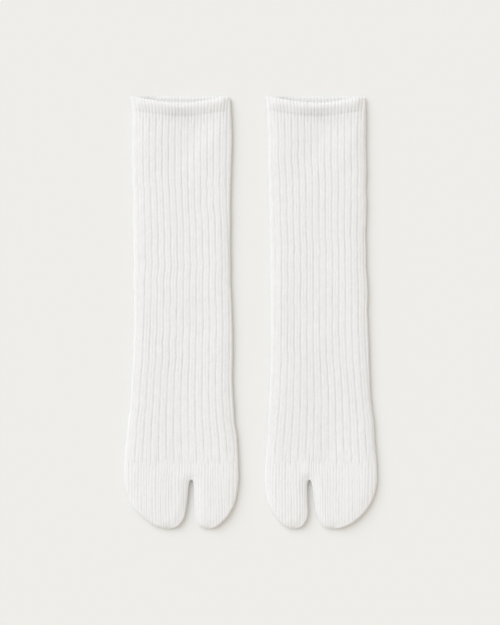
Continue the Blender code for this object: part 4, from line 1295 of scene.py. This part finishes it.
def knit_material(name, stitch_depth, mottle):
    """Matt cotton. stitch_depth is in mm, and mottle is how far the nap varies the tone."""
    material = bpy.data.materials.new(name)
    material.use_nodes = True
    tree = material.node_tree
    shader = tree.nodes["Principled BSDF"]
    fibres = vector_maths(tree, "MULTIPLY", tree.nodes.new("ShaderNodeTexCoord").outputs["Object"])
    fibres.inputs[1].default_value = NAP_STRETCH
    nap = noise(tree, fibres.outputs[0], NAP_SCALE, NAP_DETAIL)
    cloud = noise(tree, fibres.outputs[0], CLOUD_SCALE, CLOUD_DETAIL)
    normal = bump(tree, stitches(tree), stitch_depth * MM)
    link(tree, bump(tree, nap, NAP_DEPTH * MM, normal), shader.inputs["Normal"])
    tone = maths(tree, "ADD", maths(tree, "MULTIPLY", nap, NAP_SHARE),
                 maths(tree, "MULTIPLY", cloud, CLOUD_SHARE))
    colour = tree.nodes.new("ShaderNodeMix")
    colour.data_type = "RGBA"
    colour.inputs["A"].default_value = tinted(1.0 - mottle)
    colour.inputs["B"].default_value = tinted(1.0 + mottle)
    link(tree, tone, colour.inputs["Factor"])
    stored = tree.nodes.new("ShaderNodeAttribute")
    stored.attribute_name = "shade"
    darkened = vector_maths(tree, "SCALE", colour.outputs["Result"])
    link(tree, maths(tree, "SUBTRACT", 1.0, stored.outputs["Fac"]), darkened.inputs["Scale"])
    link(tree, darkened.outputs[0], shader.inputs["Base Color"])
    shader.inputs["Roughness"].default_value = 0.92
    shader.inputs["Specular IOR Level"].default_value = 0.25
    shader.inputs["Sheen Weight"].default_value = 0.06
    shader.inputs["Sheen Roughness"].default_value = 0.6
    return material


rib_knit = knit_material("ribbed_cotton", 0.09, 0.10)
welt_knit = knit_material("welt_cotton", 0.09, 0.10)
toe_jersey = knit_material("toe_cotton", 0.05, 0.07)
print("finishes:", rib_knit.name, welt_knit.name, toe_jersey.name)

# %% [markdown]
# ## Dressing the solids
# Every knitted piece takes the place of the solid it was built over, and its record lists how large its
# cloth is when cut open: a tube's cloth is its whole way round by its length. Only the toe box lists an
# area of its own, because its round tips and the split make it smaller than its rectangle.

# %% Riding and replacing the solids
Cloth = namedtuple("Cloth", "piece node slot finish flat area")
dressed = []
for sock in (RIGHT_FOOT, LEFT_FOOT):
    dressed += [
        Cloth(welts[sock.name], "_welt", "welt_knit", welt_knit, (0.168, 0.0115), None),
        Cloth(legs[sock.name], "_leg", "rib_knit", rib_knit, (0.178, 0.293), None),
        Cloth(toes[sock.name], "_toe", "toe_jersey", toe_jersey, (0.192, 0.055), 0.0082),
    ]
    for cloth in dressed[-3:]:
        node = sock.name + cloth.node
        cloth.piece.data.materials.append(cloth.finish)
        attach(cloth.piece, "root")
        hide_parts(node)
print("dressed pieces:", [cloth.piece.name for cloth in dressed])

# %% [markdown]
# ## Surface
# White knit on a white ground only reads by its shading: one broad light at the upper left, at middle
# height, rims the left folds and leaves a soft shadow on the right, over an even fill. A sun lamp with a
# very wide disc lights the whole ground evenly, which a near softbox wouldn't. The ground itself is plain
# matt paper, so nothing is mirrored in it.

# %% Ground
GROUND = (0.794, 0.798, 0.778)
GROUND_HALF = 10.0        # m, so that no end of it shows from above
GROUND_Z = -0.05 * MM     # a hair under the cloth, so that no two faces coincide

ground_mesh = bpy.data.meshes.new("ground")
corners = [(x * GROUND_HALF, y * GROUND_HALF, GROUND_Z) for x, y in ((-1, -1), (1, -1), (1, 1), (-1, 1))]
ground_mesh.from_pydata(corners, [], [(0, 1, 2, 3)])
ground = bpy.data.objects.new("ground", ground_mesh)
bpy.context.scene.collection.objects.link(ground)
paper = bpy.data.materials.new("paper")
paper.use_nodes = True
paper_shader = paper.node_tree.nodes["Principled BSDF"]
paper_shader.inputs["Base Color"].default_value = (*GROUND, 1.0)
paper_shader.inputs["Roughness"].default_value = 1.0
paper_shader.inputs["Specular IOR Level"].default_value = 0.0
ground_mesh.materials.append(paper)
print("ground, m:", 2 * GROUND_HALF, "square")

# %% [markdown]
# ## Light
# The sun is a little cool and the fill is warm, so lit cloth looks neutral and the shadows stay soft.
# The wide disc blurs the shadows at their far ends, as a large window near the table does.

# %% Sun and fill
SUN_STRENGTH = 1.83
SUN_COLOUR = (0.925, 1.0, 1.110)
SUN_ELEVATION = 40.0
SUN_AZIMUTH = 140.0       # where it stands, counter-clockwise from +X
SUN_DISC = 57.0           # degrees across
FILL = (0.740, 0.693, 0.639)

sun_data = bpy.data.lights.new("window", "SUN")
sun_data.energy = SUN_STRENGTH
sun_data.angle = math.radians(SUN_DISC)
sun_data.color = SUN_COLOUR
sun = bpy.data.objects.new("window", sun_data)
sun.rotation_euler = (0.0, math.radians(90.0 - SUN_ELEVATION), math.radians(SUN_AZIMUTH))
bpy.context.scene.collection.objects.link(sun)

world = bpy.data.worlds.new("fill")
world.use_nodes = True
background = world.node_tree.nodes["Background"]
background.inputs["Color"].default_value = (*FILL, 1.0)
background.inputs["Strength"].default_value = 1.0
bpy.context.scene.world = world
print("sun disc, degrees:", SUN_DISC, "at", SUN_ELEVATION, "above the ground")

# %% [markdown]
# ## Camera
# The lens is long, so the cuffs and toes are seen from straight above, with hardly any perspective. The
# height of the camera follows from the lens and from how much of the surface it has to see.

# %% Camera
LENS = 85.0               # mm, as is the sensor
SENSOR = 36.0
CLIP = 0.01               # m from the camera, nearer than anything is
VIEW_HEIGHT = 0.52083     # m of cloth seen from top to bottom
VIEW_Z = 3.0 * MM         # at this height, about the middle of the cloth
VIEW_X = -0.70 * MM       # it stands this far left of the middle of the pair

camera_data = bpy.data.cameras.new("camera")
camera_data.lens = LENS
camera_data.sensor_width = SENSOR
camera_data.clip_start = CLIP
camera = bpy.data.objects.new("camera", camera_data)
camera.location = (VIEW_X, 0.0, VIEW_HEIGHT * LENS / SENSOR + VIEW_Z)
bpy.context.scene.collection.objects.link(camera)
bpy.context.scene.camera = camera
bpy.context.scene.view_settings.view_transform = "Standard"
print("camera height, m:", round(camera.location.z, 3))
